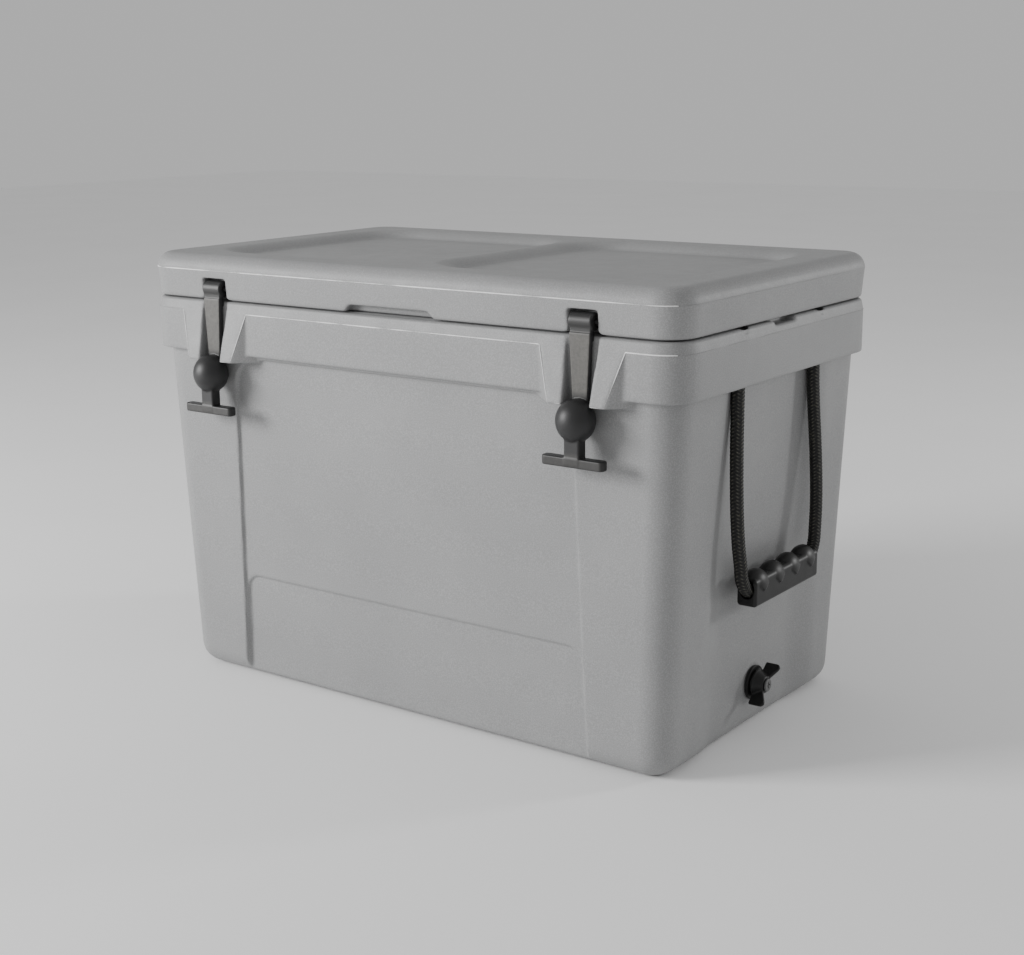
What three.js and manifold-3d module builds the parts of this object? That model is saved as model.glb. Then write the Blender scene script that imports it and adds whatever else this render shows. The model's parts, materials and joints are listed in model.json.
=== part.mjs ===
// A rotomoulded cooler box with a hinged lid, two rubber latches, rope handles and a drain plug.
// Millimetres, +Z up, X along the length, the latches on the -Y side, the origin under the box's middle.
import * as THREE from "three";
import { mergeVertices } from "three/addons/utils/BufferGeometryUtils.js";
import Module from "manifold-3d";

// Driving dimensions ---------------------------------------------------------------------------
const RIM = { halfX: 320, halfY: 189.5, corner: 32, bottom: 347.9, crease: 390, lean: 2.5, edge: 3 };
const SEAM = 401.3;
const LID_TOP = 445.8;
const STEP = 8.5; // the rim stands this far outside the body below it
const TAPER = { x: 13.7, y: 8.2 }; // how far each side of the body leans in from the rim to the floor
const BODY_CORNER = 28;
const BODY_FILLET = 22;
const SKIN = 4;
const GAP = 0.3;
const INNER = { halfX: 271.5, halfY: 141, taperX: 11, taperY: 7, corner: 25, fillet: 15, floor: 40 };
const SEAM_GAP = 0.5;

const PANEL = { topHalf: 205, bottomHalf: 216, top: 344.5, corner: 24, depth: 4 };
const LOWER_PANEL = { topHalf: 209, bottomHalf: 214, top: 113, corner: 14, depth: 7 };
const END_RECESS = { floorTop: 76, floorBottom: 88, outerTop: 92, outerBottom: 107, depth: 8.5 };
const END_NOTCH = { halfWidth: 20, depth: 5, inward: 14 };

const LATCH_X = 221.5;
const LATCH_BLOCK = { half: 23, front: -188, back: -179, lidHalf: 23 }; // solid stretches behind a latch
const PIN = { y: -185.5, z: 413, radius: 2, halfLength: 19 };
const LID_NOTCH = { halfTop: 15, halfBottom: 20.5, top: 423, floorY: -174 };
const KEEPER = {
  bottom: 341, proud: 11, channelTop: 19, channelBottom: 13.5, outerTop: 44, outerBottom: 29,
  floorY: -186, rootY: -178,
};
const KNUCKLE = { radius: 8, halfWidth: 11.7 };
const STRAP = { halfTop: 11, halfBottom: 8.2, thick: 5, forward: 4.5, top: 406 };
const BALL = { y: -198.6, z: 329, radius: 17.3, neck: 8 };
const GRIP_T = { y: -201, z: 292.5, halfX: 32, halfY: 5, halfZ: 4.3, round: 4, stem: 7 };

const FINGER_SLOT = { fromX: -49.5, toX: 57.8, height: 7.4, depth: 10, slant: 7 };
const LID = { lipLean: 2.5, fillet: 15 };
const TRAY = { fromX: 10, toX: 271, halfY: 140.5, depth: 7, wall: 12, corner: 52 };
const PLUG = { clearance: 5, depth: 12, corner: 20 };
const GASKET = { out: 9, width: 8, height: 5, groove: 5.6 };

const HINGE = {
  x: 185, y: 196, z: 401.3, knuckle: 6, midKnuckle: 11, leafHalf: 34, leafThick: 3, bore: 2.2, pin: 1.9,
  bodyLow: 356, bodyArmLow: 380, lidArmHigh: 415, lidHigh: 434,
};
const HINGE_SCREW = { spread: 22, bodyZ: 371, lidZ: 421, head: 4, headHigh: 2.4, shank: 1.9, long: 14 };
const HINGE_BOSS = { radius: 8, front: 168 };

const ROPE = { radius: 6.25, x: 311, y: 75, pivotZ: 340, hole: 6.7 };
const POCKET = { x: 305.5, radius: 12.3, bottom: 372 };
const KNOT = { radius: 11.2, z: 385.5 };
const GRIP = {
  x: 318, halfY: 64, halfX: 10, bottom: 143, valley: 167, bump: 11.5, bumps: 4, round: 4, bevel: 2.5,
};
const GRIP_ROPE_Z = 154.5;
const GRIP_BEND = 27;

const DRAIN = {
  z: 46, seat: 292.6, seatRadius: 20, seatFrom: 284, bore: 9.6, tube: 9.2, tubeFrom: 248, water: 6.5,
  flange: 17, flangeGap: 1.6, flangeThick: 2.6, gasket: 16.4, gasketThick: 1, inside: 256, nut: 14,
  nutThick: 6,
};
const SEAL = { x: 297.1, inner: 6.9, outer: 12, thick: 1.2 };
const KNOB = { x: 298.6, stem: 5.9, stemLong: 24, base: 13.8, baseThick: 1.5, tip: 7.6, long: 10, hole: 2.1 };
const WING = { reach: 24, long: 16, thick: 4.4, tilt: 0.7, root: 3, foot: 0.6, slope: 9, round: 4 };
const KNOB_SCREW = { shank: 1.8, shankLong: 8, head: 6.4, crown: 4, headHigh: 2.4 };
const DRAIN_BLOCK = { fromX: 226, toX: 290, halfY: 26, low: 25, high: 68 };
const SUMP = { fromX: 236, toX: 262, halfY: 20, floor: 30, high: 62 };
const PORT = { radius: 10, x: 120 };

const ARC_STEPS = 4;
const FILLET_STEPS = 3;
const ROUND = 16; // sides of a small round part
const ROPE_SIDES = 8;
const ROPE_STEPS = 44;
const BEND_STEPS = 6;

const signs = [-1, 1];
const corners = signs.flatMap((sx) => signs.map((sy) => [sx, sy]));

// Solids ---------------------------------------------------------------------------------------
const wasm = await Module();
wasm.setup();

function solid(geometry) {
  const bare = geometry.index ? geometry.toNonIndexed() : geometry.clone();
  bare.deleteAttribute("normal");
  bare.deleteAttribute("uv");
  const merged = mergeVertices(bare, 1e-4);
  const mesh = new wasm.Mesh({
    numProp: 3,
    vertProperties: new Float32Array(merged.attributes.position.array),
    triVerts: new Uint32Array(merged.index.array),
  });
  return new wasm.Manifold(mesh);
}

function geometryOf(made) {
  const mesh = made.getMesh();
  const geometry = new THREE.BufferGeometry();
  geometry.setAttribute("position", new THREE.BufferAttribute(mesh.vertProperties, 3));
  geometry.setIndex(new THREE.BufferAttribute(mesh.triVerts, 1));
  const flat = geometry.toNonIndexed();
  flat.computeVertexNormals();
  return flat;
}

const join = (first, ...rest) => rest.reduce((sum, next) => sum.add(next), first);
const cut = (first, ...rest) => rest.reduce((left, next) => left.subtract(next), first);

// A closed solid through a stack of level outlines, which all have the same number of points.
function loft(rings) {
  const count = rings[0].length;
  const positions = rings.flat().flatMap((p) => [p.x, p.y, p.z]);
  const faces = THREE.ShapeUtils.triangulateShape(rings[0].map((p) => new THREE.Vector2(p.x, p.y)), []);
  const last = (rings.length - 1) * count;
  const index = [];
  for (const [a, b, c] of faces) {
    index.push(a, c, b);
    index.push(last + a, last + b, last + c);
  }
  for (let ring = 0; ring < rings.length - 1; ring++) {
    for (let i = 0; i < count; i++) {
      const low = ring * count + i;
      const next = ring * count + ((i + 1) % count);
      index.push(low, next, next + count);
      index.push(low, next + count, low + count);
    }
  }
  const geometry = new THREE.BufferGeometry();
  geometry.setAttribute("position", new THREE.Float32BufferAttribute(positions, 3));
  geometry.setIndex(index);
  return solid(geometry);
}

// The points of a level rectangle with round corners, anticlockwise from above.
function roundedRing(halfX, halfY, corner, z, centreX = 0) {
  const radius = Math.max(corner, 0.5);
  const points = [];
  for (let quarter = 0; quarter < 4; quarter++) {
    const signX = quarter === 0 || quarter === 3 ? 1 : -1;
    const signY = quarter < 2 ? 1 : -1;
    for (let step = 0; step <= ARC_STEPS; step++) {
      const angle = ((quarter + step / ARC_STEPS) * Math.PI) / 2;
      const x = centreX + signX * (halfX - radius) + radius * Math.cos(angle);
      const y = signY * (halfY - radius) + radius * Math.sin(angle);
      points.push(new THREE.Vector3(x, y, z));
    }
  }
  return points;
}

const ringOf = (corners, z) => corners.map(([x, y]) => new THREE.Vector3(x, y, z));

function box(x0, x1, y0, y1, z0, z1) {
  const geometry = new THREE.BoxGeometry(x1 - x0, y1 - y0, z1 - z0);
  return solid(geometry.translate((x0 + x1) / 2, (y0 + y1) / 2, (z0 + z1) / 2));
}

// A solid of revolution about a line along axis: profile holds [radius, place along the axis].
function turned(profile, axis, centre, sides = ROUND) {
  const geometry = new THREE.LatheGeometry(profile.map(([r, s]) => new THREE.Vector2(r, s)), sides);
  if (axis === "x") geometry.rotateZ(-Math.PI / 2);
  if (axis === "z") geometry.rotateX(Math.PI / 2);
  return solid(geometry.translate(...centre));
}

const rod = (radius, from, to, axis, centre, sides = ROUND) =>
  turned([[0, from], [radius, from], [radius, to], [0, to]], axis, centre, sides);
const ring = (inner, outer, from, to, axis, centre, sides = ROUND) =>
  turned([[inner, from], [outer, from], [outer, to], [inner, to], [inner, from]], axis, centre, sides);

// The box ---------------------------------------------------------------------------------------
const bodyHalfX = (z) => RIM.halfX - STEP - TAPER.x * (1 - z / RIM.bottom);
const bodyHalfY = (z) => RIM.halfY - STEP - TAPER.y * (1 - z / RIM.bottom);

function bodyBelowRim(inset) {
  const radius = BODY_FILLET - inset;
  const rings = [];
  for (let step = 0; step <= FILLET_STEPS; step++) {
    const angle = (step / FILLET_STEPS) * (Math.PI / 2);
    const inward = radius * (1 - Math.sin(angle)) + inset;
    const z = inset + radius * (1 - Math.cos(angle));
    rings.push(roundedRing(bodyHalfX(z) - inward, bodyHalfY(z) - inward, BODY_CORNER - inward / 2, z));
  }
  const top = SEAM - inset - 1;
  const halfX = bodyHalfX(RIM.bottom) - inset;
  const halfY = bodyHalfY(RIM.bottom) - inset;
  rings.push(roundedRing(halfX, halfY, BODY_CORNER - inset / 2, RIM.bottom));
  rings.push(roundedRing(halfX, halfY, BODY_CORNER - inset / 2, top));
  return loft(rings);
}

function rimBand(inset) {
  const at = (inward, z) =>
    roundedRing(RIM.halfX - inset - inward, RIM.halfY - inset - inward, RIM.corner - inset - inward, z);
  const low = RIM.bottom + inset;
  const high = SEAM - inset;
  return loft([
    at(RIM.edge, low),
    at(0, low + RIM.edge),
    at(0, RIM.crease),
    at(RIM.lean - 0.5, high - 2),
    at(RIM.lean + 1.5, high),
  ]);
}

// A tall outline with round upper corners and spreading sides, cut to depth into the front face.
function frontCutter(panel, grow) {
  const top = panel.top + grow;
  const half = (z) => panel.bottomHalf + ((panel.topHalf - panel.bottomHalf) * z) / panel.top + grow;
  const shape = new THREE.Shape();
  shape.moveTo(-half(-2), -2);
  shape.lineTo(half(-2), -2);
  shape.lineTo(half(top - panel.corner), top - panel.corner);
  shape.quadraticCurveTo(half(top), top, half(top) - panel.corner, top);
  shape.lineTo(-half(top) + panel.corner, top);
  shape.quadraticCurveTo(-half(top), top, -half(top - panel.corner), top - panel.corner);
  const geometry = new THREE.ExtrudeGeometry(shape, { depth: 30, bevelEnabled: false, curveSegments: 4 });
  geometry.rotateX(Math.PI / 2 + Math.atan(TAPER.y / RIM.bottom));
  return solid(geometry.translate(0, -(bodyHalfY(0) - panel.depth - grow), 0));
}

function endCutter(grow) {
  const section = (z, floorHalf, outerHalf) => {
    const face = bodyHalfX(z);
    const floor = face - END_RECESS.depth - grow;
    const spread = (outerHalf - floorHalf) / END_RECESS.depth;
    const far = outerHalf + grow + spread * 2;
    const near = floorHalf + grow;
    return ringOf([[floor, -near], [face + 2, -far], [face + 2, far], [floor, near]], z);
  };
  const low = section(-2, END_RECESS.floorBottom, END_RECESS.outerBottom);
  const high = section(RIM.bottom + grow, END_RECESS.floorTop, END_RECESS.outerTop);
  return loft([low, high]);
}

const turnAbout = (made) => made.rotate([0, 0, 180]);

function outerForm(inset) {
  const plain = join(bodyBelowRim(inset), rimBand(inset));
  const panels = [frontCutter(PANEL, inset), frontCutter(LOWER_PANEL, inset), endCutter(inset)];
  return cut(plain, ...panels, ...panels.map(turnAbout));
}

// The space that the food and ice go in, grown outwards by grow.
function innerForm(grow) {
  const radius = INNER.fillet + grow;
  const floor = INNER.floor - grow;
  const halfX = (z) => INNER.halfX - INNER.taperX * (1 - z / SEAM) + grow;
  const halfY = (z) => INNER.halfY - INNER.taperY * (1 - z / SEAM) + grow;
  const rings = [];
  for (let step = 0; step <= FILLET_STEPS; step++) {
    const angle = (step / FILLET_STEPS) * (Math.PI / 2);
    const inward = radius * (1 - Math.sin(angle));
    const z = floor + radius * (1 - Math.cos(angle));
    rings.push(roundedRing(halfX(z) - inward, halfY(z) - inward, INNER.corner + grow - inward / 2, z));
  }
  rings.push(roundedRing(halfX(SEAM), halfY(SEAM), INNER.corner + grow, SEAM + 1));
  return loft(rings);
}

// One of the two wedges beside a latch, which its ball is drawn down behind.
function keeper(side) {
  const xs = (channel, outer) => (side > 0 ? [channel, outer] : [-outer, -channel]);
  const section = (z, [x0, x1], front) =>
    ringOf([[x0, front], [x1, front], [x1, KEEPER.rootY], [x0, KEEPER.rootY]], z);
  const low = section(KEEPER.bottom, xs(KEEPER.channelBottom, KEEPER.outerBottom), -RIM.halfY - KEEPER.proud);
  const high = section(RIM.crease, xs(KEEPER.channelTop, KEEPER.outerTop), -RIM.halfY + 0.2);
  return loft([low, high]);
}

function latchChannel() {
  const section = (z, half) =>
    ringOf([[-half, -230], [half, -230], [half, KEEPER.floorY], [-half, KEEPER.floorY]], z);
  return loft([section(KEEPER.bottom - 1, KEEPER.channelBottom), section(SEAM + 1, KEEPER.channelTop)]);
}

const atLatches = (make) => [-LATCH_X, LATCH_X].map((x) => make().translate([x, 0, 0]));

const pocketBoss = (sx, sy, grow) =>
  rod(POCKET.radius + SKIN + grow, RIM.bottom - grow, SEAM, "z", [sx * POCKET.x, sy * ROPE.y, 0]);

const screwPlaces = signs.flatMap((side) => signs.map((s) => side * HINGE.x + s * HINGE_SCREW.spread));

function hingeBosses(z, grow) {
  const { radius, front } = HINGE_BOSS;
  return screwPlaces.map((x) => rod(radius + grow, front - grow, RIM.halfY - RIM.lean, "y", [x, 0, z], 12));
}

const hingeHoles = (z) => screwPlaces.map((x) => rod(HINGE_SCREW.shank + GAP, 175, 200, "y", [x, 0, z], 12));

// The solid stretches of the double wall, each grown by grow where the foam makes room for it.
function bodyBlocks(grow) {
  const g = grow;
  const blocks = corners.map(([sx, sy]) => pocketBoss(sx, sy, g));
  blocks.push(...hingeBosses(HINGE_SCREW.bodyZ, g));
  const { fromX, toX, halfY, low, high } = DRAIN_BLOCK;
  blocks.push(box(fromX - g, toX + g, -halfY - g, halfY + g, low - g, high + g));
  for (const s of signs) {
    const inner = RIM.halfX - END_NOTCH.inward - SKIN - g;
    const x = s > 0 ? [inner, RIM.halfX - RIM.lean] : [-RIM.halfX + RIM.lean, -inner];
    const wide = END_NOTCH.halfWidth + SKIN + g;
    blocks.push(box(...x, -wide, wide, SEAM - END_NOTCH.depth - SKIN - g, SEAM - 1));
  }
  const { half, front, back } = LATCH_BLOCK;
  blocks.push(...atLatches(() => box(-half - g, half + g, front, back + g, RIM.bottom + 1 - g, SEAM - 1)));
  return blocks;
}

const fillPort = (from, to) => rod(PORT.radius, from, to, "z", [PORT.x, 0, 0]);

function bodyShell() {
  const cavity = cut(outerForm(SKIN), innerForm(SKIN), ...bodyBlocks(0));
  const keepers = atLatches(() => join(keeper(-1), keeper(1)));
  const seat = rod(DRAIN.seatRadius, DRAIN.seatFrom, DRAIN.seat, "x", [0, 0, DRAIN.z]);
  let shell = cut(join(outerForm(0), seat, ...keepers), innerForm(0), cavity);
  const halfY = END_NOTCH.halfWidth;
  const notch = box(RIM.halfX - END_NOTCH.inward, 330, -halfY, halfY, SEAM - END_NOTCH.depth, SEAM + 1);
  shell = cut(shell, notch, turnAbout(notch), ...atLatches(latchChannel), ...hingeHoles(HINGE_SCREW.bodyZ));
  for (const [sx, sy] of corners) {
    const bore = rod(ROPE.hole, RIM.bottom - 6, POCKET.bottom + 1, "z", [sx * ROPE.x, sy * ROPE.y, 0], 16);
    const pocket = rod(POCKET.radius, POCKET.bottom, SEAM + 1, "z", [sx * POCKET.x, sy * ROPE.y, 0]);
    shell = cut(shell, bore, pocket);
  }
  const sump = box(SUMP.fromX, SUMP.toX, -SUMP.halfY, SUMP.halfY, SUMP.floor, SUMP.high);
  const bore = rod(DRAIN.bore, 240, 310, "x", [0, 0, DRAIN.z]);
  return cut(shell, sump, bore, fillPort(-1, SKIN + 1));
}

function bodyFoam() {
  return cut(outerForm(SKIN + GAP), innerForm(SKIN + GAP), ...bodyBlocks(GAP));
}

const portPlug = (from) => rod(PORT.radius - GAP, from, from + SKIN - 1, "z", [PORT.x, 0, 0]);

// The lid -----------------------------------------------------------------------------------------
const LID_LOW = SEAM + SEAM_GAP;
const pinAxis = [0, PIN.y, PIN.z];

function lidForm(inset) {
  const at = (inward, z) => {
    const off = inset + inward;
    return roundedRing(RIM.halfX - off, RIM.halfY - off, RIM.corner - off / 2, z);
  };
  const rings = [at(LID.lipLean + 1.5, LID_LOW + inset), at(LID.lipLean - 0.5, LID_LOW + inset + 2)];
  const radius = LID.fillet - inset;
  for (let step = 0; step <= FILLET_STEPS; step++) {
    const angle = (step / FILLET_STEPS) * (Math.PI / 2);
    const z = LID_TOP - inset - radius * (1 - Math.sin(angle));
    rings.push(at(radius * (1 - Math.cos(angle)), z));
  }
  return loft(rings);
}

// The part of the lid that drops into the box, inset all round.
function lidPlug(inset) {
  const off = PLUG.clearance + inset;
  const at = (inward, z) =>
    roundedRing(INNER.halfX - off - inward, INNER.halfY - off - inward, PLUG.corner - inset - inward / 2, z);
  const low = LID_LOW - PLUG.depth + inset;
  return loft([at(4, low), at(0, low + 4), at(0, LID_LOW + inset + 6)]);
}

function tray(side, grow) {
  const centre = (side * (TRAY.fromX + TRAY.toX)) / 2;
  const half = (TRAY.toX - TRAY.fromX) / 2 + grow;
  const at = (inward, z) =>
    roundedRing(half - inward, TRAY.halfY + grow - inward, TRAY.corner - inward, z, centre);
  const floor = LID_TOP - TRAY.depth - grow;
  return loft([at(TRAY.wall, floor), at(TRAY.wall * 0.7, floor + 1), at(TRAY.wall * 0.3, LID_TOP - grow - 1),
    at(0, LID_TOP + 0.01 - grow), at(0, LID_TOP + 2)]);
}

const trays = (grow) => signs.map((side) => tray(side, grow));

function lidNotch() {
  const outline = new THREE.Shape();
  outline.moveTo(-LID_NOTCH.halfBottom, SEAM - 1);
  outline.lineTo(LID_NOTCH.halfBottom, SEAM - 1);
  outline.quadraticCurveTo(LID_NOTCH.halfTop, SEAM + 2, LID_NOTCH.halfTop, SEAM + 8);
  outline.lineTo(LID_NOTCH.halfTop, LID_NOTCH.top);
  outline.lineTo(-LID_NOTCH.halfTop, LID_NOTCH.top);
  outline.lineTo(-LID_NOTCH.halfTop, SEAM + 8);
  outline.quadraticCurveTo(-LID_NOTCH.halfTop, SEAM + 2, -LID_NOTCH.halfBottom, SEAM - 1);
  const geometry = new THREE.ExtrudeGeometry(outline, { depth: 30, bevelEnabled: false, curveSegments: 3 });
  return solid(geometry.rotateX(Math.PI / 2).translate(0, LID_NOTCH.floorY, 0));
}

function lidBlocks(grow) {
  const g = grow;
  const half = LATCH_BLOCK.lidHalf + g;
  const low = LID_LOW + 2;
  const notchBack = LID_NOTCH.floorY + SKIN + g;
  const notchTop = LID_NOTCH.top + SKIN + g;
  const blocks = atLatches(() => box(-half, half, LATCH_BLOCK.front, notchBack, low, notchTop));
  const slotBack = -RIM.halfY + LID.lipLean + FINGER_SLOT.depth + SKIN + g;
  const slotTop = LID_LOW + FINGER_SLOT.height + SKIN + g;
  const { fromX, toX } = FINGER_SLOT;
  blocks.push(box(fromX - SKIN - g, toX + SKIN + g, -186, slotBack, low, slotTop));
  blocks.push(...hingeBosses(HINGE_SCREW.lidZ, g));
  return blocks;
}

function gasketRing(grow, low, high) {
  const at = (out) => (z) =>
    roundedRing(INNER.halfX + out, INNER.halfY + out, INNER.corner + out, z);
  const outer = at(GASKET.out + GASKET.width / 2 + grow);
  const inner = at(GASKET.out - GASKET.width / 2 - grow);
  return cut(loft([outer(low), outer(high)]), loft([inner(low - 1), inner(high + 1)]));
}

function fingerSlot() {
  const mid = (FINGER_SLOT.fromX + FINGER_SLOT.toX) / 2;
  const half = (FINGER_SLOT.toX - FINGER_SLOT.fromX) / 2;
  const outline = new THREE.Shape();
  outline.moveTo(mid - half, LID_LOW - 1);
  outline.lineTo(mid + half, LID_LOW - 1);
  outline.lineTo(mid + half - FINGER_SLOT.slant, LID_LOW + FINGER_SLOT.height);
  outline.lineTo(mid - half + FINGER_SLOT.slant, LID_LOW + FINGER_SLOT.height);
  const geometry = new THREE.ExtrudeGeometry(outline, { depth: 30, bevelEnabled: false });
  return solid(geometry.rotateX(Math.PI / 2).translate(0, -RIM.halfY + LID.lipLean + FINGER_SLOT.depth, 0));
}

function lidCavity(inset) {
  const trayed = cut(lidForm(inset), ...trays(inset));
  const groove = gasketRing(inset, LID_LOW - 1, LID_LOW + GASKET.groove + inset);
  return cut(join(trayed, lidPlug(inset)), groove, ...lidBlocks(inset - SKIN));
}

function lidShell() {
  const skin = cut(join(lidForm(0), lidPlug(0)), ...trays(0), lidCavity(SKIN));
  const pinReach = PIN.halfLength + GAP;
  const pinHole = rod(PIN.radius + GAP, -pinReach, pinReach, "x", pinAxis, 12);
  const cuts = atLatches(() => join(lidNotch(), pinHole));
  const groove = gasketRing(GAP, LID_LOW - 1, LID_LOW + GASKET.groove);
  const under = LID_LOW - PLUG.depth;
  const port = fillPort(under - 1, under + SKIN + 1);
  return cut(skin, ...cuts, groove, fingerSlot(), port, ...hingeHoles(HINGE_SCREW.lidZ));
}

const lidFoam = () => lidCavity(SKIN + GAP);
const lidGasket = () => gasketRing(0, SEAM + GAP, SEAM + GAP + GASKET.height);

// Latches -------------------------------------------------------------------------------------------
function latch() {
  const knuckle = rod(KNUCKLE.radius, -KNUCKLE.halfWidth, KNUCKLE.halfWidth, "x", pinAxis);
  const section = (z, halfX, y) => {
    const front = y - STRAP.thick / 2;
    const back = y + STRAP.thick / 2;
    return ringOf([[-halfX, front], [halfX, front], [halfX, back], [-halfX, back]], z);
  };
  const strap = loft([
    section(BALL.z + 10, STRAP.halfBottom, BALL.y + BALL.neck - 2),
    section(KEEPER.bottom + 8, STRAP.halfBottom, BALL.y + BALL.neck),
    section(STRAP.top, STRAP.halfTop, PIN.y - STRAP.forward),
    section(PIN.z, STRAP.halfTop, PIN.y - STRAP.forward),
  ]);
  const sphere = new THREE.SphereGeometry(BALL.radius, 16, 12).rotateX(Math.PI / 2);
  const ball = solid(sphere.translate(0, BALL.y, BALL.z));
  const stem = rod(GRIP_T.stem, GRIP_T.z, BALL.z - 8, "z", [0, (GRIP_T.y + BALL.y) / 2, 0], 12);
  const bar = (z) => {
    const outline = roundedRing(GRIP_T.halfX, GRIP_T.halfY, GRIP_T.round, z);
    return outline.map((p) => p.setY(p.y + GRIP_T.y));
  };
  const grip = loft([bar(GRIP_T.z - GRIP_T.halfZ), bar(GRIP_T.z + GRIP_T.halfZ)]);
  const hole = rod(PIN.radius + GAP, -20, 20, "x", pinAxis, 12);
  return cut(join(knuckle, strap, ball, stem, grip), hole);
}

const latchPin = () => rod(PIN.radius, -PIN.halfLength, PIN.halfLength, "x", pinAxis, 12);

// Hinges --------------------------------------------------------------------------------------------
const LEAF_Y = RIM.halfY + GAP;
const hingeAxis = [0, HINGE.y, HINGE.z];
const leafPlate = (x0, x1, low, high) => box(x0, x1, LEAF_Y, LEAF_Y + HINGE.leafThick, low, high);
const knucklePart = (x0, x1) => rod(HINGE.knuckle, x0, x1, "x", hingeAxis);
const hingeBore = () => rod(HINGE.bore, -50, 50, "x", hingeAxis, 12);

function leafHoles(z) {
  return signs.map((s) => rod(HINGE_SCREW.shank + GAP, 180, 200, "y", [s * HINGE_SCREW.spread, 0, z], 12));
}

function bodyLeaf() {
  const clear = HINGE.knuckle + 1.2;
  const plate = leafPlate(-HINGE.leafHalf, HINGE.leafHalf, HINGE.bodyLow, HINGE.z - clear);
  const arms = signs.map((s) => {
    const [x0, x1] = [s * (HINGE.midKnuckle + GAP), s * HINGE.leafHalf].sort((a, b) => a - b);
    return join(leafPlate(x0, x1, HINGE.bodyArmLow, HINGE.z), knucklePart(x0, x1));
  });
  return cut(join(plate, ...arms), hingeBore(), ...leafHoles(HINGE_SCREW.bodyZ));
}

function lidLeaf() {
  const clear = HINGE.knuckle + 1.8;
  const plate = leafPlate(-HINGE.leafHalf, HINGE.leafHalf, HINGE.z + clear, HINGE.lidHigh);
  const arm = leafPlate(-HINGE.midKnuckle, HINGE.midKnuckle, HINGE.z, HINGE.lidArmHigh);
  const knuckle = knucklePart(-HINGE.midKnuckle, HINGE.midKnuckle);
  return cut(join(plate, arm, knuckle), hingeBore(), ...leafHoles(HINGE_SCREW.lidZ));
}

const hingePin = () => rod(HINGE.pin, -HINGE.leafHalf - 1, HINGE.leafHalf + 1, "x", hingeAxis, 12);

function hingeScrew() {
  const { head, headHigh, shank, long } = HINGE_SCREW;
  const under = LEAF_Y + HINGE.leafThick + GAP;
  return turned([
    [0, under - long], [shank, under - long], [shank, under], [head, under],
    [head, under + headHigh / 2], [head / 2, under + headHigh], [0, under + headHigh],
  ], "y", [0, 0, 0], 12);
}

// Rope handles --------------------------------------------------------------------------------------
// The rope's centre line from its pivot under the rim, down, through the grip and up again.
const ROPE_LEG = [
  [ROPE.x, ROPE.y, ROPE.pivotZ],
  [311.4, 75.1, 322],
  [312.2, 75.3, 300],
  [313.4, 75.5, 276],
  [314.6, 75.6, 252],
  [315.8, 75.6, 228],
  [316.9, 75.5, 205],
];

function ropeLine() {
  const down = ROPE_LEG.map((p) => new THREE.Vector3(...p));
  for (let step = 0; step <= BEND_STEPS; step++) {
    const angle = (step / BEND_STEPS) * (Math.PI / 2);
    const y = ROPE.y - GRIP_BEND * (1 - Math.cos(angle));
    const z = GRIP_ROPE_Z + GRIP_BEND * (1 - Math.sin(angle));
    down.push(new THREE.Vector3(GRIP.x, y, z));
  }
  const flat = [new THREE.Vector3(GRIP.x, 24, GRIP_ROPE_Z), new THREE.Vector3(GRIP.x, 0, GRIP_ROPE_Z)];
  const half = [...down, ...flat];
  const back = half.slice(0, -1).reverse().map((p) => new THREE.Vector3(p.x, -p.y, p.z));
  return new THREE.CatmullRomCurve3([...half, ...back], false, "centripetal");
}

function ropeTube(radius) {
  const section = new THREE.Shape();
  section.absarc(0, 0, radius, 0, Math.PI * 2);
  const curveSegments = ROPE_SIDES / 2;
  const tube = { steps: ROPE_STEPS, curveSegments, extrudePath: ropeLine(), bevelEnabled: false };
  return solid(new THREE.ExtrudeGeometry(section, tube));
}

function handleRope() {
  const ends = signs.map((s) => {
    const ball = new THREE.SphereGeometry(ROPE.radius - 0.05, 8, 6);
    return solid(ball.translate(ROPE.x, s * ROPE.y, ROPE.pivotZ));
  });
  return join(ropeTube(ROPE.radius), ...ends);
}

function ropeKnot(sy) {
  const low = ROPE.pivotZ + ROPE.radius + GAP;
  const tail = rod(ROPE.radius, low, KNOT.z, "z", [ROPE.x, sy * ROPE.y, 0], ROPE_SIDES);
  const knot = new THREE.SphereGeometry(KNOT.radius, 10, 7).rotateX(Math.PI / 2);
  return join(tail, solid(knot.translate(POCKET.x, sy * ROPE.y, KNOT.z)));
}

// A flat-bottomed bar with a row of finger bumps along its top, and a bent hole for the rope.
function handleGrip() {
  const bumpLength = (2 * GRIP.halfY) / GRIP.bumps;
  const outline = new THREE.Shape();
  outline.moveTo(-GRIP.halfY, GRIP.bottom + GRIP.round);
  outline.quadraticCurveTo(-GRIP.halfY, GRIP.bottom, -GRIP.halfY + GRIP.round, GRIP.bottom);
  outline.lineTo(GRIP.halfY - GRIP.round, GRIP.bottom);
  outline.quadraticCurveTo(GRIP.halfY, GRIP.bottom, GRIP.halfY, GRIP.bottom + GRIP.round);
  for (let bump = 0; bump < GRIP.bumps; bump++) {
    const from = GRIP.halfY - bump * bumpLength;
    outline.lineTo(from, GRIP.valley);
    const crown = GRIP.valley + 2 * GRIP.bump;
    outline.quadraticCurveTo(from - bumpLength / 2, crown, from - bumpLength, GRIP.valley);
  }
  const depth = 2 * (GRIP.halfX - GRIP.bevel);
  const bevel = GRIP.bevel;
  const edges = { bevelThickness: bevel, bevelSize: bevel, bevelOffset: -bevel, bevelSegments: 2 };
  const geometry = new THREE.ExtrudeGeometry(outline, { depth, curveSegments: 5, ...edges });
  geometry.rotateX(Math.PI / 2).rotateZ(Math.PI / 2).translate(GRIP.x - GRIP.halfX + GRIP.bevel, 0, 0);
  return cut(solid(geometry), ropeTube(ROPE.radius + 2 * GAP));
}

// Drain ----------------------------------------------------------------------------------------------
const drainAxis = [0, 0, DRAIN.z];

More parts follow.
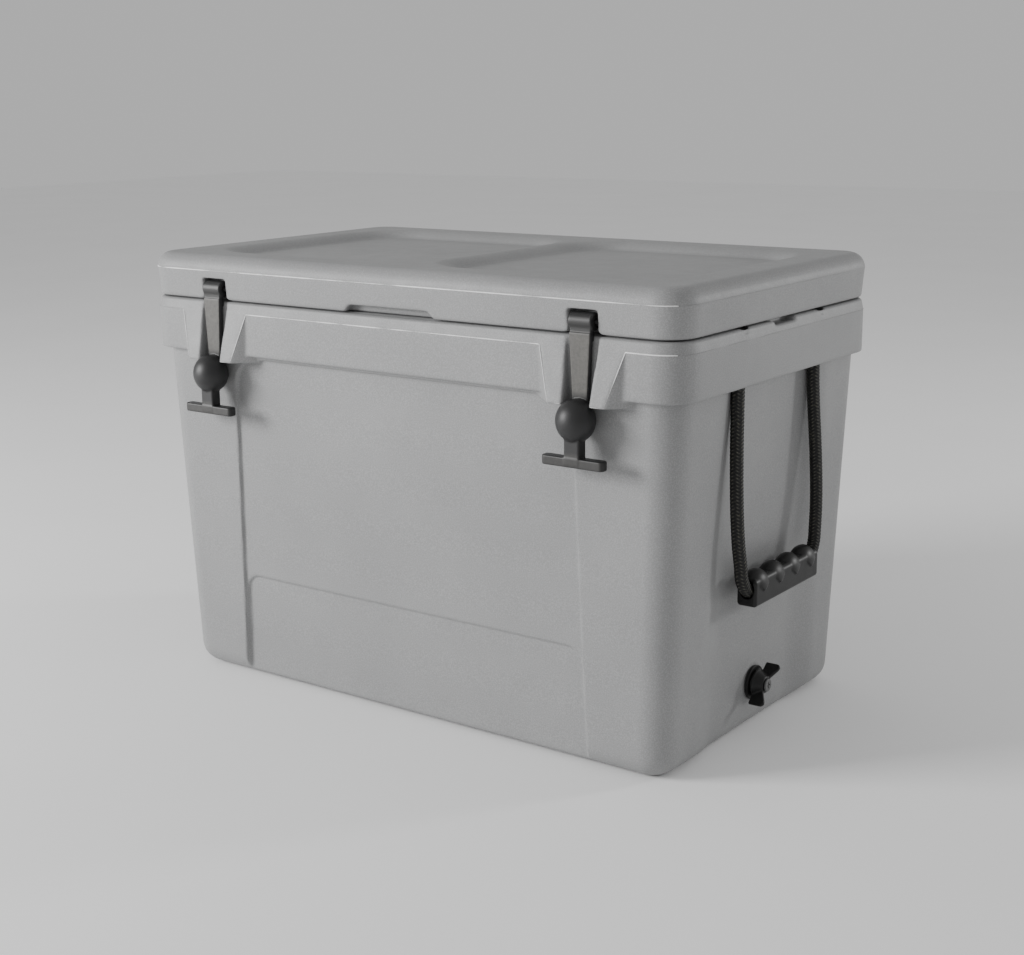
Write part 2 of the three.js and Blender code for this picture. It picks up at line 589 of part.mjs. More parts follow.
function drainGasket() {
  const from = DRAIN.seat + GAP;
  return ring(DRAIN.bore, DRAIN.gasket, from, from + DRAIN.gasketThick, "x", drainAxis);
}

function drainSpout() {
  const from = DRAIN.seat + DRAIN.flangeGap;
  const flange = ring(DRAIN.water, DRAIN.flange, from, from + DRAIN.flangeThick, "x", drainAxis, 24);
  const tube = ring(DRAIN.water, DRAIN.tube, DRAIN.tubeFrom, from + 1, "x", drainAxis);
  return join(flange, tube);
}

function drainNut() {
  const outside = rod(DRAIN.nut, DRAIN.inside - DRAIN.nutThick, DRAIN.inside, "x", drainAxis, 6);
  return cut(outside, rod(DRAIN.tube + GAP, DRAIN.inside - 20, DRAIN.inside + 20, "x", drainAxis));
}

const drainSeal = () => ring(SEAL.inner, SEAL.outer, SEAL.x, SEAL.x + SEAL.thick, "x", drainAxis);

// A flat wing with one round corner, standing out from the knob's hub at a turn of tilt about its axis.
function drainWing(tilt) {
  const high = KNOB.x + WING.long;
  const outline = new THREE.Shape();
  outline.moveTo(WING.root, KNOB.x + WING.foot);
  outline.lineTo(WING.reach - 1, KNOB.x + WING.foot);
  outline.lineTo(WING.reach, high - WING.round);
  outline.quadraticCurveTo(WING.reach, high, WING.reach - WING.round, high);
  outline.lineTo(WING.slope, KNOB.x + WING.slope);
  outline.lineTo(WING.root, KNOB.x + WING.slope);
  const flat = { depth: WING.thick, bevelEnabled: false, curveSegments: 3 };
  const geometry = new THREE.ExtrudeGeometry(outline, flat).translate(0, 0, -WING.thick / 2);
  return solid(geometry.rotateZ(-Math.PI / 2).rotateX(tilt).translate(...drainAxis));
}

function drainKnob() {
  const { x, stem, stemLong, base, baseThick, tip, long, hole } = KNOB;
  const hub = turned([
    [0, x - stemLong], [stem, x - stemLong], [stem, x], [base, x], [base, x + baseThick],
    [tip, x + long], [0, x + long],
  ], "x", drainAxis);
  const wings = [WING.tilt, WING.tilt + Math.PI].map(drainWing);
  return cut(join(hub, ...wings), rod(hole, x, x + long + 2, "x", drainAxis, 12));
}

function drainScrew() {
  const { shank, shankLong, head, crown, headHigh } = KNOB_SCREW;
  const top = KNOB.x + KNOB.long;
  return turned([
    [0, top - shankLong], [shank, top - shankLong], [shank, top + GAP], [head, top + GAP],
    [head, top + headHigh - 1], [crown, top + headHigh], [0, top + headHigh],
  ], "x", drainAxis);
}

// The assembly -----------------------------------------------------------------------------------------
const finish = (color, roughness, metalness = 0) => () =>
  new THREE.MeshStandardMaterial({ color, roughness, metalness });
const greyPlastic = finish(0xa3a5a5, 0.6);
const foam = finish(0xe6d9a8, 0.9);
const blackRubber = finish(0x1b1b1c, 0.65);
const greyRubber = finish(0x3a3a3a, 0.7);
const rope = finish(0x17171a, 0.9);
const blackPlastic = finish(0x1d1d1d, 0.4);
const steel = finish(0xb9bcc0, 0.35, 1);

function piece(name, made, material, place = [0, 0, 0]) {
  const mesh = new THREE.Mesh(geometryOf(made), material());
  mesh.name = name;
  mesh.position.set(...place);
  return mesh;
}

const named = { "-1": "left", 1: "right" };

function hingeScrews(owner, z) {
  return signs.flatMap((side) => signs.map((s, index) => {
    const place = [side * HINGE.x + s * HINGE_SCREW.spread, 0, z];
    return piece(`hinge_${named[side]}_${owner}_screw_${index + 1}`, hingeScrew(), steel, place);
  }));
}

function tubGroup() {
  const group = new THREE.Group();
  group.add(piece("body_shell", bodyShell(), greyPlastic));
  group.add(piece("body_foam", bodyFoam(), foam));
  group.add(piece("body_foam_plug", portPlug(0.6), greyPlastic));
  group.add(piece("drain_gasket", drainGasket(), greyRubber));
  group.add(piece("drain_spout", drainSpout(), blackPlastic));
  group.add(piece("drain_nut", drainNut(), blackPlastic));
  for (const side of signs) {
    const place = [side * HINGE.x, 0, 0];
    group.add(piece(`hinge_${named[side]}_body_leaf`, bodyLeaf(), steel, place));
    group.add(piece(`hinge_${named[side]}_pin`, hingePin(), steel, place));
  }
  group.add(...hingeScrews("body", HINGE_SCREW.bodyZ));
  return group;
}

function lidGroup() {
  const group = new THREE.Group();
  group.add(piece("lid_shell", lidShell(), greyPlastic));
  group.add(piece("lid_foam", lidFoam(), foam));
  group.add(piece("lid_foam_plug", portPlug(LID_LOW - PLUG.depth + 0.6), greyPlastic));
  group.add(piece("lid_gasket", lidGasket(), greyRubber));
  for (const side of signs) {
    group.add(piece(`hinge_${named[side]}_lid_leaf`, lidLeaf(), steel, [side * HINGE.x, 0, 0]));
    group.add(piece(`latch_${named[side]}_pin`, latchPin(), steel, [side * LATCH_X, 0, 0]));
  }
  group.add(...hingeScrews("lid", HINGE_SCREW.lidZ));
  return group;
}

function latchGroup() {
  const group = new THREE.Group();
  for (const side of signs) {
    group.add(piece(`latch_${named[side]}`, latch(), blackRubber, [side * LATCH_X, 0, 0]));
  }
  return group;
}

// The handle at one end: the left one is the right one turned half a turn about the box's middle.
function handleGroup(side) {
  const group = new THREE.Group();
  if (side < 0) group.rotation.z = Math.PI;
  group.add(piece(`handle_${named[side]}_rope`, handleRope(), rope));
  group.add(piece(`handle_${named[side]}_grip`, handleGrip(), blackPlastic));
  for (const sy of signs) {
    const place = sy * side < 0 ? "front" : "back";
    group.add(piece(`handle_${named[side]}_knot_${place}`, ropeKnot(sy), rope));
  }
  return group;
}

function drainGroup() {
  const group = new THREE.Group();
  group.add(piece("drain_seal", drainSeal(), greyRubber));
  group.add(piece("drain_knob", drainKnob(), blackPlastic));
  group.add(piece("drain_screw", drainScrew(), steel));
  return group;
}

const cooler = new THREE.Group();
cooler.add(tubGroup(), lidGroup(), latchGroup(), handleGroup(-1), handleGroup(1), drainGroup());

export default cooler;
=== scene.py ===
import json
import math

import bmesh
import bpy
import numpy as np
import openvdb
from mathutils import Matrix, Vector


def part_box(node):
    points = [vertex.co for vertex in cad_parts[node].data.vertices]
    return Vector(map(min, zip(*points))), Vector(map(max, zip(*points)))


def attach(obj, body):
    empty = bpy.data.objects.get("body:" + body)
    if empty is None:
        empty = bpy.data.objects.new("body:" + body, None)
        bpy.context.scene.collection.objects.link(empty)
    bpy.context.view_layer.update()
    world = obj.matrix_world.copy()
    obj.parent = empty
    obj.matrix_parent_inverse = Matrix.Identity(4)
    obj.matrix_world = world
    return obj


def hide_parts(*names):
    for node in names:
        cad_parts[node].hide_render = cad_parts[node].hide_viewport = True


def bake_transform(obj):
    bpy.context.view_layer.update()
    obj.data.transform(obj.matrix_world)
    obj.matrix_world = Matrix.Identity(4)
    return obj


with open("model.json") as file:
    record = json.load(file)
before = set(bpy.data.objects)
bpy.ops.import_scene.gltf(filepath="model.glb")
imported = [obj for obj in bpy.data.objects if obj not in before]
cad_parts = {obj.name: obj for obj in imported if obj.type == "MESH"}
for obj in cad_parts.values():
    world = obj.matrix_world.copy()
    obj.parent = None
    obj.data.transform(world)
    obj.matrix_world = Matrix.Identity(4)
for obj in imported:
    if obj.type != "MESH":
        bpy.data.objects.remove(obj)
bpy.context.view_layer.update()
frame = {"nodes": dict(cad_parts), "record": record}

MM = 0.001
CAD = frame["nodes"]
COARSE = 1.0
LINE_PARTS = 24


def mm(**sizes):
    """Named sizes given in millimetres, as metres."""
    return {name: tuple(v * MM for v in size) if isinstance(size, tuple) else size * MM
            for name, size in sizes.items()}


# Driving dimensions: the moulded body, whose outer size comes from the frame ----------------------
HALF_X, HALF_Y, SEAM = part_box("body_shell")[1]
RIM_LOW = 347.9 * MM
CREASE = 390 * MM
LEAN = 2.5 * MM / (SEAM - CREASE)
STEP = 8.5 * MM
TAPER = (13.7 * MM, 8.2 * MM)
RIM_CORNER = 32 * MM
BODY_CORNER = 28 * MM
BODY_FILLET = 22 * MM
PANEL_DEPTH_MM = 3.4
PANEL = mm(top=344.5, top_half=205, low_half=216, corner=30, base=0, depth=PANEL_DEPTH_MM, wall=1.0)
LOWER = mm(top=113, top_half=210, low_half=215.5, corner=16, base=PANEL_DEPTH_MM, depth=5.9, wall=1.2)
RECESS = mm(top_half=92, low_half=107, wall=17, depth=8.5)
INNER = mm(half=(271.5, 141), taper=(11, 7), corner=25, fillet=15, floor=40)
SUMP = mm(low=(236, -20, 30), high=(262, 20, 62), corner=4)
LATCH_X = 221.5 * MM
CHANNEL = mm(low=341, low_half=13.5, top_half=17, back=186, below=1)
KEEPER = mm(apex=44, front=29, root=41, proud=11, back=178, over_crease=2)
NOTCH = mm(half=20, deep=5, from_x=306)
ROPE = mm(x=311, y=75, radius=6.25, hole=6.9, hole_below=5, hole_above=1)
POCKET = mm(x=305.5, radius=11.7, low=372)
DRAIN = mm(z=46, seat=292.6, seat_middle=288, seat_radius=20, bore=9.6, bore_from=240)
# The radius of each rounded edge of the body
EDGE = mm(panel=0.6, panel_foot=0.7, recess=7, recess_foot=8, recess_top=2, rim_low=1.8, rim_high=3,
          rim_root=0.8, keeper=1.2, keeper_foot=1.5, keeper_root=1.0, channel=2.5, channel_mouth=1.5,
          seam=2.5, tub=3, sump=4, bore=1.2, pocket=0.8, pocket_foot=2, notch=2, notch_mouth=1.2,
          seat=1, seat_root=3, drain=0.8)

# The lid ------------------------------------------------------------------------------------------
LID_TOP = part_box("lid_shell")[1][2]
LID_EDGE = SEAM + 0.5 * MM
LID_CREASE = 431 * MM
LID_LEAN = 0.085
LID_NOTCH = mm(half=15, flare=5, top=423, back=174)
SLOT = mm(x=(-49.5, 57.8), high=7.4, deep=10, inset=2.5)
SLOT_SLANT = 0.8
TRAY = mm(x=(10, 271), half_y=140.5, deep=8, wall=10, corner=52)
PLUG = mm(gap=5, corner=20, deep=12, into=6)
GROOVE = mm(outset=9, corner=34, half=4.3, deep=5.6)
# The radius of each rounded edge of the lid
LID_ROUND = mm(top=15, bottom=3, tray=6, tray_foot=2.5, plug=4, plug_root=2, notch=2, notch_mouth=1.5,
               slot=3, slot_mouth=1.5, groove=0.8)

# The latches, from the pin down to the T-grip -----------------------------------------------------
PIN = mm(y=-185.5, z=413, hole=2.3)
KNUCKLE = mm(radius=8, half=11.7, edge=1.0)
STRAP = mm(y=-190.2, half_thick=2.7, edge=1.0, top=403.6, top_edge=0.5, low=330, foot=349, run=54, half=8.2,
           widens=2.8)
STRAP_RANGE = (-0.3, 1.2)
WEB = mm(low=(-11, -192, 396), high=(11, -186, 413), edge=1)
BALL = mm(y=-198.6, z=328.6, radii=(17.9, 17.5, 19.2))
NECK = mm(low=(-8, -206, 290), high=(8, -194.5, 318), edge=1.6)
T_GRIP = mm(y=-201, z=292.5, half_x=32, half_y=5.2, half_z=4.4, corner=4, edge=1.4)
LATCH_JOIN = mm(web=0.5, strap=0.4, ball=0.8, grip=1.4, neck=1.0)
LATCH_SPACE = mm(low=(-33, -219, 282), high=(33, -177, 423))

# The rope handles, with each rope's route in millimetres at the right end -------------------------
ROPE_LEG = [(311, 75, 372), (311, 75, 340), (311.4, 75.8, 322), (312.2, 77.2, 300), (313.4, 78.8, 276),
            (314.6, 79.8, 252), (315.8, 79.9, 228), (316.9, 78.6, 205)]
ROPE_BEND = {"x": 318, "y": 75, "z": 154.5, "radius": 27, "steps": 8}
ROPE_RUN = [(318, 24, 154.5), (318, 0, 154.5)]
ROPE_STEP = 1.5 * MM
KNOT = mm(z=385.5, radius=5.0, half_rise=6)
KNOT_TURNS = 1.75
KNOT_POINTS = 60
BRAID = mm(pitch=3.3, depth=0.9, step=0.5)
BRAID_AROUND = 80
BRAID_FALL = 0.75
STRANDS = 8
GRIP = mm(x=318, half=(10, 64), low=143, high=170, side_edge=3, low_edge=3.5, high_edge=5, bore=7.2,
          bore_edge=1.2, bore_top=172)
GRIP_SPACE = mm(half=(12, 66), low=140, high=182)
GRIP_BUMPS = 4
BUMP = mm(z=160, radii=(11.8, 18, 16), crease=156, edge=0.8, join=0.4)
CREASE_SLOPE = 0.7

# The drain plug: distances are measured outward from KNOB_X along the drain's axis ----------------
KNOB_X = 298.6 * MM
CONE = mm(radius=13.6, start=1.5, middle=5, half=5, edge=0.8)
CONE_SLOPE = 0.7
DISC = mm(radius=13.8, middle=0.9, half=0.9, edge=0.5)
STEM = mm(radius=5.8, middle=-11.5, half=12.2, edge=0.5)
WING = mm(reach=24, long=16, thick=4.6, tip_edge=4, edge=1.2, start=0.6, start_edge=0.8, rise_out=9.5,
          rise_from=7)
WING_TILT = 0.7
WING_THINS = 0.03
WING_SLOPE = 0.55
KNOB_JOIN = mm(disc=0.3, wing=1.5, screw_hole=2.1)
KNOB_SPACE = mm(back=25, front=18, half=23)
SCREW = mm(out=10, radius=6.3, middle=1.3, half=1.0, edge=0.7, shank=1.8, shank_middle=-3.5, shank_half=4.5,
           slot=0.75, slot_reach=3.2, slot_floor=1.1, slot_edge=0.2)
SCREW_SPACE = mm(back=-1, front=13.5, half=7)
SPOUT_PROFILE = [(6.5, 248), (9.2, 248), (9.2, 294.2), (17, 294.2), (17, 296.8), (6.5, 296.8)]
TURNED_SIDES = 96
METAL_EDGE = 0.5 * MM
SHARP_ANGLE = math.radians(35)
WELD = 1e-6

# Moulding flash, the camera and the lights --------------------------------------------------------
FLASH_SIZE = mm(front=0.55, round=0.3, wedge=0.4, step=1.5, inside=0.6, over_foot=1, past_channel=2)
FLASH_ROUGH = {"gaps": 0.1, "gain": 1.8, "grain": 0.35, "grain_gain": 0.6, "least": 0.08, "run": 12}
FLASH_SIDES = 6
CORNER_POINTS = 13
CAMERA = {"place": (0.9922, -1.35, 0.6077), "yaw": 36.07, "pitch": 13.35, "roll": -0.58, "lens": 57.95}
LIGHTS = {"key": ((-2.0, -2.2, 1.15), (0, 0, 0.2), 1.1, 104),
          "end_fill": ((1.9, 2.1, 0.9), (0.3, 0, 0.2), 0.4, 22)}
SKY = 0.52
FLOOR_HALF = 8
FLOOR_Z = -0.1 * MM


# Signed distances: negative inside, with rounded joins and cuts -----------------------------------
def length(*parts):
    return np.sqrt(sum(p * p for p in parts))


def both(a, b, r=0.0):
    """What is inside a and b, with the edge between them rounded to radius r."""
    if r == 0.0:
        return np.maximum(a, b)
    return np.minimum(np.maximum(a, b), -r) + length(np.maximum(a + r, 0), np.maximum(b + r, 0))


def either(a, b, r=0.0):
    return -both(-a, -b, r)


def without(a, b, r=0.0):
    return both(a, -b, r)


def rectangle(x, y, half_x, half_y, corner):
    qx = np.abs(x) - (half_x - corner)
    qy = np.abs(y) - (half_y - corner)
    return length(np.maximum(qx, 0), np.maximum(qy, 0)) + np.minimum(np.maximum(qx, qy), 0) - corner


def block(x, y, z, low, high, corner=0.0):
    """A box between two corners, its edges rounded."""
    q = [np.abs(p - (a + b) / 2) - ((b - a) / 2 - corner) for p, a, b in zip((x, y, z), low, high)]
    outside = length(*(np.maximum(v, 0) for v in q))
    return outside + np.minimum(np.maximum(np.maximum(q[0], q[1]), q[2]), 0) - corner


def plane(x, y, z, points):
    """The distance in front of the plane through three points, by their right-hand normal."""
    a, b, c = (Vector(p) for p in points)
    n = (b - a).cross(c - a).normalized()
    return n.x * x + n.y * y + n.z * z - n.dot(a)


def ellipsoid(x, y, z, radii):
    near = length(x / radii[0], y / radii[1], z / radii[2])
    slope = length(x / radii[0] ** 2, y / radii[1] ** 2, z / radii[2] ** 2)
    return near * (near - 1) / np.maximum(slope, 1e-6)


def along_axis(from_axis, out, size):
    """A short cylinder about the drain's axis."""
    return both(from_axis - size["radius"], np.abs(out - size["middle"]) - size["half"], size["edge"])


# Meshes -------------------------------------------------------------------------------------------
def shown(name, mesh):
    piece = bpy.data.objects.new(name, mesh)
    bpy.context.collection.objects.link(piece)
    return piece


def stands_for(piece, body, slot, *nodes):
    """Ties a piece to the body it moves with and hides the CAD nodes that it is shown for. The slot is not
    used.
    """
    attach(piece, body)
    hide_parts(*nodes)


def spaced(*stretches):
    """Sample places along an axis: (from, to, step) stretches in millimetres, one after the other."""
    parts = [np.linspace(a, b, max(1, round((b - a) / s)), endpoint=False) for a, b, s in stretches]
    return (np.concatenate(parts + [[stretches[-1][1]]]) * MM).astype(np.float32)


def grid_of(xs, ys, zs):
    return xs[:, None, None], ys[None, :, None], zs[None, None, :]


def skin(name, distance, axes, material):
    """A mesh of the surface where distance is 0 on a grid that may be finer where the shape needs it."""
    grid = openvdb.FloatGrid()
    grid.background = 1.0
    grid.copyFromArray(np.ascontiguousarray(distance, dtype=np.float32))
    points, quads = grid.convertToQuads(isovalue=0.0)
    world = np.stack([np.interp(points[:, k], np.arange(len(axes[k])), axes[k]) for k in range(3)], axis=1)
    mesh = bpy.data.meshes.new(name)
    mesh.vertices.add(len(world))
    mesh.vertices.foreach_set("co", world.astype(np.float32).ravel())
    mesh.loops.add(quads.size)
    mesh.loops.foreach_set("vertex_index", quads[:, ::-1].astype(np.int32).ravel())
    mesh.polygons.add(len(quads))
    mesh.polygons.foreach_set("loop_start", np.arange(0, quads.size, 4, dtype=np.int32))
    mesh.update(calc_edges=True)
    mesh.validate()
    mesh.shade_smooth()
    mesh.materials.append(material)
    return shown(name, mesh)


def small_piece(name, shape, low, high, step, material, shift=(0, 0, 0)):
    """A piece from its signed distance on an even grid, step in millimetres, moved by shift at the end."""
    step = step * 1
    axes = [spaced((a / MM, b / MM, step)) for a, b in zip(low, high)]
    piece = skin(name, shape(*grid_of(*axes)), axes, material)
    piece.data.transform(Matrix.Translation(shift))
    return piece


def mesh_of(name, points, quads, caps, material):
    faces = [list(map(int, q)) for q in quads] + [list(map(int, c)) for c in caps]
    mesh = bpy.data.meshes.new(name)
    mesh.from_pydata([tuple(map(float, p)) for p in points], [], faces)
    mesh.validate()
    form = bmesh.new()
    form.from_mesh(mesh)
    bmesh.ops.recalc_face_normals(form, faces=form.faces)
    form.to_mesh(mesh)
    form.free()
    mesh.shade_smooth()
    mesh.materials.append(material)
    return mesh


def tube_of(name, rings, material):
    """A closed tube through rings of points: an array of rings by points by 3."""
    rows, columns = rings.shape[:2]
    index = np.arange(rows * columns).reshape(rows, columns)
    here = index[:-1]
    after = index[1:]
    quads = np.stack([here, np.roll(here, -1, 1), np.roll(after, -1, 1), after], axis=-1).reshape(-1, 4)
    return shown(name, mesh_of(name, rings.reshape(-1, 3), quads, [index[0][::-1], index[-1]], material))


def rings_about(line, reach, around):
    """Rings of points about a line: reach is how far out each point is, around its angle."""
    sides, ups = frames_along(line)
    return line[:, None, :] + reach[..., None] * (np.cos(around)[..., None] * sides[:, None, :]
                                                  + np.sin(around)[..., None] * ups[:, None, :])


def frames_along(line):
    """Two directions square to the line at each point, which don't twist along it."""
    tangents = np.gradient(line, axis=0)
    tangents /= np.linalg.norm(tangents, axis=1)[:, None]
    side = np.cross(tangents[0], (0, 1, 0))
    sides = []
    for tangent in tangents:
        side = side - tangent * side.dot(tangent)
        side /= np.linalg.norm(side)
        sides.append(side)
    sides = np.array(sides)
    return sides, np.cross(tangents, sides)


def resampled(line, step):
    """Points about a step apart along a line of straight pieces."""
    along = np.concatenate([[0], np.cumsum(np.linalg.norm(np.diff(line, axis=0), axis=1))])
    even = np.linspace(0, along[-1], round(along[-1] / step) + 1)
    return np.stack([np.interp(even, along, line[:, k]) for k in range(3)], axis=1)


def smooth_line(points, step):
    """Points an even step apart on the Catmull-Rom curve through the given ones."""
    dense = []
    for i in range(len(points) - 1):
        a = points[max(i - 1, 0)]
        b = points[i]
        c = points[i + 1]
        d = points[min(i + 2, len(points) - 1)]
        chord = (c - b).length
        start = (c - a).normalized() * chord
        end = (d - b).normalized() * chord
        for k in range(LINE_PARTS):
            s = k / LINE_PARTS
            dense.append((2 * s**3 - 3 * s**2 + 1) * b + (s**3 - 2 * s**2 + s) * start
                         + (3 * s**2 - 2 * s**3) * c + (s**3 - s**2) * end)
    dense.append(points[-1])
    return resampled(np.array(dense), step)


def round_edges(piece, width, segments=3):
    """Bevels the sharp edges and shades the result smooth, with its flat faces kept flat."""
    bevel = piece.modifiers.new("round_edges", "BEVEL")
    bevel.width = width
    bevel.segments = segments
    bevel.limit_method = "ANGLE"
    bevel.angle_limit = SHARP_ANGLE
    piece.data.shade_smooth()
    flatten = piece.modifiers.new("flat_faces", "WEIGHTED_NORMAL")
    flatten.keep_sharp = True
    flatten.weight = 100


# The moulded body ---------------------------------------------------------------------------------
def body_half(z):
    lean = np.clip(1 - z / RIM_LOW, 0, 1)
    return HALF_X - STEP - TAPER[0] * lean, HALF_Y - STEP - TAPER[1] * lean


def outline(x, z, panel):
    """The distance outside a panel's outline: leaning sides, and a level top with round corners."""
    half = panel["low_half"] + (panel["top_half"] - panel["low_half"]) * z / panel["top"]
    return both(np.abs(x) - half, z - panel["top"], panel["corner"])


def panel_cut(x, y, z, panel):
    """The space outside a panel that is sunk to its depth in the front or back, with sloping walls."""
    _, half_y = body_half(z)
    out = np.abs(y) - half_y
    run = panel["depth"] - panel["base"]
    side = outline(x, z, panel) - panel["wall"] * (out + panel["base"]) / run
    side = side / math.hypot(1, panel["wall"] / run)
    return both(side, -(out + panel["depth"]), EDGE["panel_foot"])


def recess_cut(x, y, z):
    """The space outside the wide hollow in each end, where the rope handle hangs."""
    half_x, _ = body_half(z)
    out = np.abs(x) - half_x
    half = RECESS["low_half"] + (RECESS["top_half"] - RECESS["low_half"]) * z / RIM_LOW
    side = np.abs(y) - half - RECESS["wall"] * out / RECESS["depth"]
    side = side / math.hypot(1, RECESS["wall"] / RECESS["depth"])
    return both(both(side, -(out + RECESS["depth"]), EDGE["recess_foot"]), z - RIM_LOW, EDGE["recess_top"])


def channel_half(z):
    part = (z - CHANNEL["low"]) / (SEAM - CHANNEL["low"])
    return CHANNEL["low_half"] + (CHANNEL["top_half"] - CHANNEL["low_half"]) * part


def from_latch(x):
    """How far a point is, along the front, from the middle of the latch on its side."""
    return np.abs(np.abs(x) - LATCH_X)


def keepers(x, y, z):
    """The wedges on both sides of both latches."""
    across = from_latch(x)
    rim = -HALF_Y
    proud = -HALF_Y - KEEPER["proud"]
    low = CHANNEL["low"]
    apex = (KEEPER["apex"], rim, CREASE)
    front = plane(across, y, z, [apex, (0, rim, CREASE), (KEEPER["front"], proud, low)])
    outer = plane(across, y, z, [apex, (KEEPER["front"], proud, low), (KEEPER["root"], rim, low)])
    wedge = both(both(front, outer, EDGE["keeper"]), low - z, EDGE["keeper_foot"])
    wedge = both(wedge, z - (CREASE + KEEPER["over_crease"]))
    return both(wedge, y + KEEPER["back"])


def channels(x, y, z):
    gap = both(from_latch(x) - channel_half(z), y + CHANNEL["back"], EDGE["channel"])
    return both(gap, CHANNEL["low"] - CHANNEL["below"] - z)


def inside_distance(x, y, z):
    """The space for food and ice, with the low spot that leads to the drain."""
    lean = 1 - z / SEAM
    half = [h - t * lean for h, t in zip(INNER["half"], INNER["taper"])]
    space = both(rectangle(x, y, half[0], half[1], INNER["corner"]), INNER["floor"] - z, INNER["fillet"])
    return either(space, block(x, y, z, SUMP["low"], SUMP["high"], SUMP["corner"]), EDGE["sump"])


def body_distance(x, y, z):
    half_x, half_y = body_half(z)
    lower = both(rectangle(x, y, half_x, half_y, BODY_CORNER), -z, BODY_FILLET)
    for panel in (PANEL, LOWER):
        lower = without(lower, panel_cut(x, y, z, panel), EDGE["panel"])
    lower = without(lower, recess_cut(x, y, z), EDGE["recess"])
    rim = rectangle(x, y, HALF_X, HALF_Y, RIM_CORNER)
    leaned = (rim + (z - CREASE) * LEAN) / math.hypot(1, LEAN)
    rim = both(both(np.maximum(rim, leaned), RIM_LOW - z, EDGE["rim_low"]), z - SEAM, EDGE["rim_high"])
    body = either(lower, rim, EDGE["rim_root"])
    body = either(body, keepers(x, y, z), EDGE["keeper_root"])
    body = without(body, channels(x, y, z), EDGE["channel_mouth"])
    body = both(body, z - SEAM, EDGE["seam"])
    return without(body, inside_distance(x, y, z), EDGE["tub"])


def rope_holes(x, y, z, body):
    """Cuts the rope bores and the knot pockets over them."""
    across = np.abs(y) - ROPE["y"]
    bore = length(np.abs(x) - ROPE["x"], across) - ROPE["hole"]
    above = z - (POCKET["low"] + ROPE["hole_above"])
    bore = both(bore, both(above, RIM_LOW - ROPE["hole_below"] - z))
    pocket = length(np.abs(x) - POCKET["x"], across) - POCKET["radius"]
    body = without(body, bore, EDGE["bore"])
    return without(body, both(pocket, POCKET["low"] - z, EDGE["pocket_foot"]), EDGE["pocket"])


def end_notches(x, y, z, body):
    """Cuts the finger notches in the ends' top edge."""
    notch = both(np.abs(y) - NOTCH["half"], (SEAM - NOTCH["deep"]) - z, EDGE["notch"])
    return without(body, both(notch, NOTCH["from_x"] - np.abs(x), EDGE["notch"]), EDGE["notch_mouth"])


def drain_hole(x, y, z, body):
    """Adds the flat seat round the drain and cuts its bore."""
    from_axis = length(y, z - DRAIN["z"])
    thick = DRAIN["seat"] - DRAIN["seat_middle"]
    seat = both(from_axis - DRAIN["seat_radius"], np.abs(x - DRAIN["seat_middle"]) - thick, EDGE["seat"])
    body = either(body, seat, EDGE["seat_root"])
    return without(body, both(from_axis - DRAIN["bore"], DRAIN["bore_from"] - x), EDGE["drain"])


def make_body():
    xs = spaced((-324, -172, 1.7 * COARSE), (-172, 172, 5), (172, 324, 1.7 * COARSE))
    ys = spaced((-204, -164, 1.4 * COARSE), (-164, -108, 4), (-108, -58, 2 * COARSE), (-58, 58, 4),
                (58, 108, 2 * COARSE), (108, 164, 4), (164, 194, 1.6 * COARSE))
    zs = spaced((-4, 30, 1.7 * COARSE), (30, 98, 3), (98, 120, 1.4 * COARSE), (120, 318, 4.5),
                (318, 406, 1.4 * COARSE))
    x, y, z = grid_of(xs, ys, zs)
    distance = body_distance(x, y, z)
    for cut in (rope_holes, end_notches, drain_hole):
        distance = cut(x, y, z, distance)
    stands_for(skin("body_moulding", distance, (xs, ys, zs), PLASTIC), "tub", "grey_plastic", "body_shell")


# The lid ------------------------------------------------------------------------------------------
def lid_outside(x, y, z):
    side = rectangle(x, y, HALF_X, HALF_Y, RIM_CORNER)
    leaned = (side - (z - LID_CREASE) * LID_LEAN) / math.hypot(1, LID_LEAN)
    side = np.where(z < LID_CREASE, leaned, side)
    return both(both(side, z - LID_TOP, LID_ROUND["top"]), LID_EDGE - z, LID_ROUND["bottom"])


def lid_trays(x, y, z):
    """The two shallow trays in the lid's top, with sloping walls."""
    middle = (TRAY["x"][0] + TRAY["x"][1]) / 2
    half = (TRAY["x"][1] - TRAY["x"][0]) / 2
    tray = rectangle(np.abs(x) - middle, y, half, TRAY["half_y"], TRAY["corner"])
    wall = tray - TRAY["wall"] * (z - LID_TOP) / TRAY["deep"]
    wall = wall / math.hypot(1, TRAY["wall"] / TRAY["deep"])
    return both(wall, LID_TOP - TRAY["deep"] - z, LID_ROUND["tray_foot"])


def lid_plug(x, y, z):
    """The low step under the lid that fits into the tub's mouth."""
    half_x, half_y = (half - PLUG["gap"] for half in INNER["half"])
    plug = rectangle(x, y, half_x, half_y, PLUG["corner"])
    return both(plug, both(LID_EDGE - PLUG["deep"] - z, z - LID_EDGE - PLUG["into"]), LID_ROUND["plug"])


def latch_notches(x, y, z):
    """The notches that hold the latches, flared at the lid's lower edge."""
    flare = LID_NOTCH["flare"]
    rise = np.maximum(LID_EDGE + flare - z, 0)
    mouth = flare - np.sqrt(np.maximum(flare * flare - np.minimum(rise, flare) ** 2, 0))
    notch = both(from_latch(x) - LID_NOTCH["half"] - mouth, z - LID_NOTCH["top"], LID_ROUND["notch"])
    return both(notch, y + LID_NOTCH["back"], LID_ROUND["notch"])


